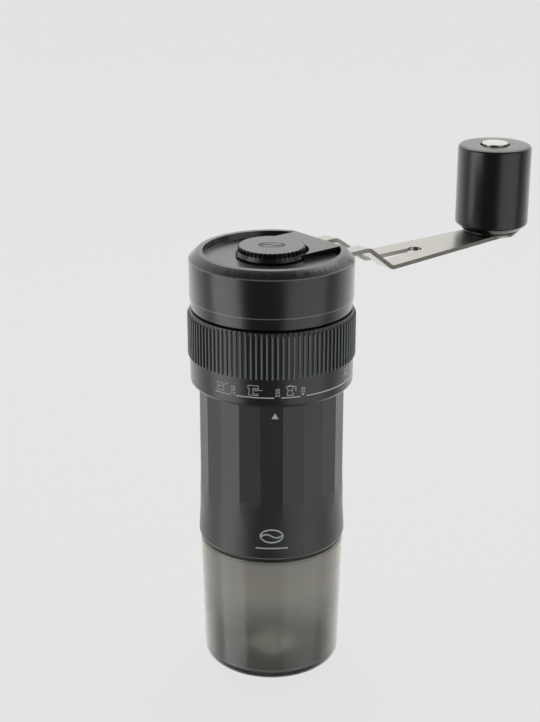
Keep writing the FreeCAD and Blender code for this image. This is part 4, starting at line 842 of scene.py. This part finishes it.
def number(text):
    """A number as a flat mesh on the plane y = 0, reading upwards."""
    bpy.ops.object.select_all(action="DESELECT")
    bpy.ops.object.text_add(location=(0, 0, 0))
    made = bpy.context.object
    made.data.body = text
    made.data.size = NUMBER_SIZE * MM
    made.data.align_x = "CENTER"
    made.data.align_y = "CENTER"
    made.data.resolution_u = 3
    bpy.ops.object.convert(target="MESH")
    made = bpy.context.object
    made.name = "number_" + text
    made.rotation_euler = (math.pi / 2, math.radians(-90), 0)
    made.location = (0, 0, NUMBER_Z * MM)
    bpy.ops.object.transform_apply(location=True, rotation=True, scale=True)
    return made


for text, angle_deg in (("250", -26.8), ("350", 4.2), ("450", 21.8)):
    printed(number(text), ring, BAND_R, angle_deg, "adjust_ring", "ring_abs", cuts=2)

# %% [markdown]
# The sleeve carries an index triangle, which the scale is read against, and a mark low on its front. The
# mark is a plain coffee bean over a short line, drawn for this model.

# %% Marks on the sleeve
SLEEVE_R = 27.0
BEAN_Z = SLEEVE_FOOT + 9.6
UNDERLINE_Z = SLEEVE_FOOT + 4.8
INDEX_Z = RING_FOOT - 4.6
INDEX_R = 1.45
MARK_LINE = 0.55


def bean(width, height, centre_z):
    """A bean's outline and its S-shaped seam, as strokes."""
    outline_steps = 28
    seam_steps = 12
    turns = [2 * math.pi * i / outline_steps for i in range(outline_steps + 1)]
    outline = [(width / 2 * math.cos(t), centre_z + height / 2 * math.sin(t)) for t in turns]
    seam = []
    for i in range(seam_steps + 1):
        share = i / seam_steps
        rise = height * 0.13 * math.sin(2 * math.pi * share)
        seam.append((width * 0.44 * (2 * share - 1), centre_z + rise))
    return [outline, seam]


underline = in_steps((-5.6, UNDERLINE_Z), (5.6, UNDERLINE_Z), 10)
mark = bars("sleeve_mark", bean(8.2, 5.0, BEAN_Z) + [underline], MARK_LINE)
printed(mark, sleeve, SLEEVE_R, 0, "housing", "body_abs", cuts=2)
bpy.ops.object.select_all(action="DESELECT")
bpy.ops.mesh.primitive_circle_add(vertices=3, radius=INDEX_R * MM, fill_type="NGON",
                                  location=(0, 0, INDEX_Z * MM), rotation=(math.pi / 2, 0, 0))
index = bpy.context.object
index.name = "index_mark"
bpy.ops.object.transform_apply(location=True, rotation=True, scale=True)
printed(index, sleeve, SLEEVE_R, 2.5, "housing", "body_abs", cuts=2)

# %% [markdown]
# The nut's flat top has a low moulded mark: the same bean, standing 0.05 mm proud. It is modelled as raised
# bars, because a moulded mark is the plastic itself and not ink.

# %% Raised mark on the nut
EMBOSS_T = 0.14
emboss = bars("nut_mark", bean(9.0, 5.6, 0.0), MARK_LINE)
only(emboss)
bpy.ops.object.mode_set(mode="EDIT")
bpy.ops.mesh.select_all(action="SELECT")
bpy.ops.transform.rotate(value=math.radians(90), orient_axis="X", center_override=(0, 0, 0))
bpy.ops.transform.translate(value=(0, 0, (NUT_TOP - 0.02) * MM))
bpy.ops.object.mode_set(mode="OBJECT")
raised = emboss.modifiers.new("raised", "SOLIDIFY")
raised.thickness = EMBOSS_T * MM
raised.offset = 0
bpy.ops.object.modifier_apply(modifier="raised")
finish(emboss, cap_abs, "thumb_nut", "nut_abs")

# %% [markdown]
# Pieces inside keep their engineering meshes. Each gets the material of its trade.

# %% Inside pieces
INSIDE = {
    "neck_collar": satin_abs, "hopper_liner": drawn_liner, "detent_leaf": bright_spring,
    "burr_frame": filled_nylon, "outer_burr": burr_steel, "bean_funnel": filled_nylon,
    "burr_screws": zinc_plate, "lower_bush": bronze, "cup_seal": silicone, "preload_washers": bright_spring,
    "ring_insert": brass, "lift_carrier": cast_zinc, "bearing_outer": bearing_steel,
    "bearing_balls": bearing_steel, "bearing_shields": bright_spring, "bearing_circlip": black_spring,
    "drive_shaft": ground_steel, "bearing_inner": bearing_steel, "shaft_clips": black_spring,
    "burr_key": ground_steel, "inner_burr": burr_steel, "drive_hub": cast_zinc, "arm_rivets": zinc_plate,
    "cap_screws": zinc_plate, "nut_clip": black_spring, "knob_bushes": natural_nylon}
for node, material in INSIDE.items():
    frame["nodes"][node].data.materials.clear()
    frame["nodes"][node].data.materials.append(material)
print("inside pieces:", len(INSIDE))

# %% [markdown]
# The studio starts with a pale floor so wide that no horizon shows. It glows a little by itself, which
# keeps shadows very faint, and it isn't seen in reflections, so the dark plastic stays dark at its foot.

# %% Floor
FLOOR_SIDE_M = 40
# The floor lies a hair under the cup, so that the two faces don't flicker into each other.
FLOOR_DROP_M = 0.0002
bpy.ops.object.select_all(action="DESELECT")
bpy.ops.mesh.primitive_plane_add(size=FLOOR_SIDE_M, location=(0, 0, -FLOOR_DROP_M))
floor = bpy.context.object
floor.name = "floor"
# Paper, dull and nearly black by itself, with a pale grey glow.
paper, _, _ = blank("Paper sweep, pale grey", Roughness=0.9, Specular_IOR_Level=0.0,
                    Base_Color=(0.05, 0.05, 0.05, 1.0), Emission_Color=paint("E3E3E3"),
                    Emission_Strength=0.96)
floor.data.materials.append(paper)
floor.visible_glossy = False
print("floor side in m:", FLOOR_SIDE_M)

# %% [markdown]
# The sky is brighter behind the grinder than in front. The front is what the dark satin reflects towards
# the camera, so the housing falls off to nearly black in the middle. The change between the two is smooth.

# %% Sky
FRONT_LIGHT = 0.09
BACK_LIGHT = 1.6
sky = bpy.data.worlds.new("studio sky")
sky.use_nodes = True
bpy.context.scene.world = sky
sky_tree = sky.node_tree
way = add_node(sky_tree, "SeparateXYZ", Vector=add_node(sky_tree, "TexCoord").outputs["Generated"])
level = add_node(sky_tree, "MapRange", {"interpolation_type": "SMOOTHSTEP"}, Value=way.outputs["Y"],
                 From_Min=-0.25, From_Max=0.75, To_Min=FRONT_LIGHT, To_Max=BACK_LIGHT)
background = sky_tree.nodes["Background"]
background.inputs["Color"].default_value = paint("F2F2F0")
sky_tree.links.new(level.outputs["Result"], background.inputs["Strength"])
print("sky, back to front:", round(BACK_LIGHT / FRONT_LIGHT, 1), "to 1")

# %% [markdown]
# Three softboxes finish the light. The two tall ones at the sides are there for their reflections alone:
# they draw the long soft highlights down the plastic, and cast no light of their own. The one above and
# behind lights the tops and gives the faint shadow.

# %% Softboxes
def softbox(name, spot, aim_z, size, power, reflection_only=True):
    """A rectangular lamp at a place in metres, facing a point on the grinding axis."""
    lamp = bpy.data.lights.new(name, "AREA")
    lamp.shape = "RECTANGLE"
    lamp.size, lamp.size_y = size
    lamp.energy = power
    made = bpy.data.objects.new(name, lamp)
    bpy.context.scene.collection.objects.link(made)
    made.location = spot
    made.rotation_euler = (Vector((0, 0, aim_z)) - Vector(spot)).to_track_quat("-Z", "Y").to_euler()
    made.visible_camera = False
    made.visible_diffuse = not reflection_only
    made.visible_transmission = not reflection_only
    print(name, "power in W:", power)


softbox("softbox_left", (-0.69, -0.29, 0.05), 0.1, (0.6, 1.3), 6.3)
softbox("softbox_right", (0.58, -0.47, 0.05), 0.1, (0.85, 1.3), 4.0)
softbox("softbox_top", (0.1, 0.45, 0.85), 0.15, (1.0, 0.5), 4.0, reflection_only=False)

# %% [markdown]
# The camera stands half a metre away and looks down at twenty degrees, with a short telephoto lens, as for
# a product picture.

# %% Camera
FOCAL_MM = 76.49
SENSOR_MM = 36.0
CAMERA_SPOT = (-0.0006, -0.5302, 0.3158)
LOOK_DOWN_DEG = 20.25
lens = bpy.data.cameras.new("camera")
lens.lens = FOCAL_MM
lens.sensor_width = SENSOR_MM
camera = bpy.data.objects.new("camera", lens)
bpy.context.scene.collection.objects.link(camera)
camera.location = CAMERA_SPOT
camera.rotation_euler = (math.radians(90 - LOOK_DOWN_DEG), 0, 0)
bpy.context.scene.camera = camera
bpy.context.scene.view_settings.view_transform = "Standard"
print("camera's distance from the axis in m:", round(math.hypot(*CAMERA_SPOT[:2]), 2))
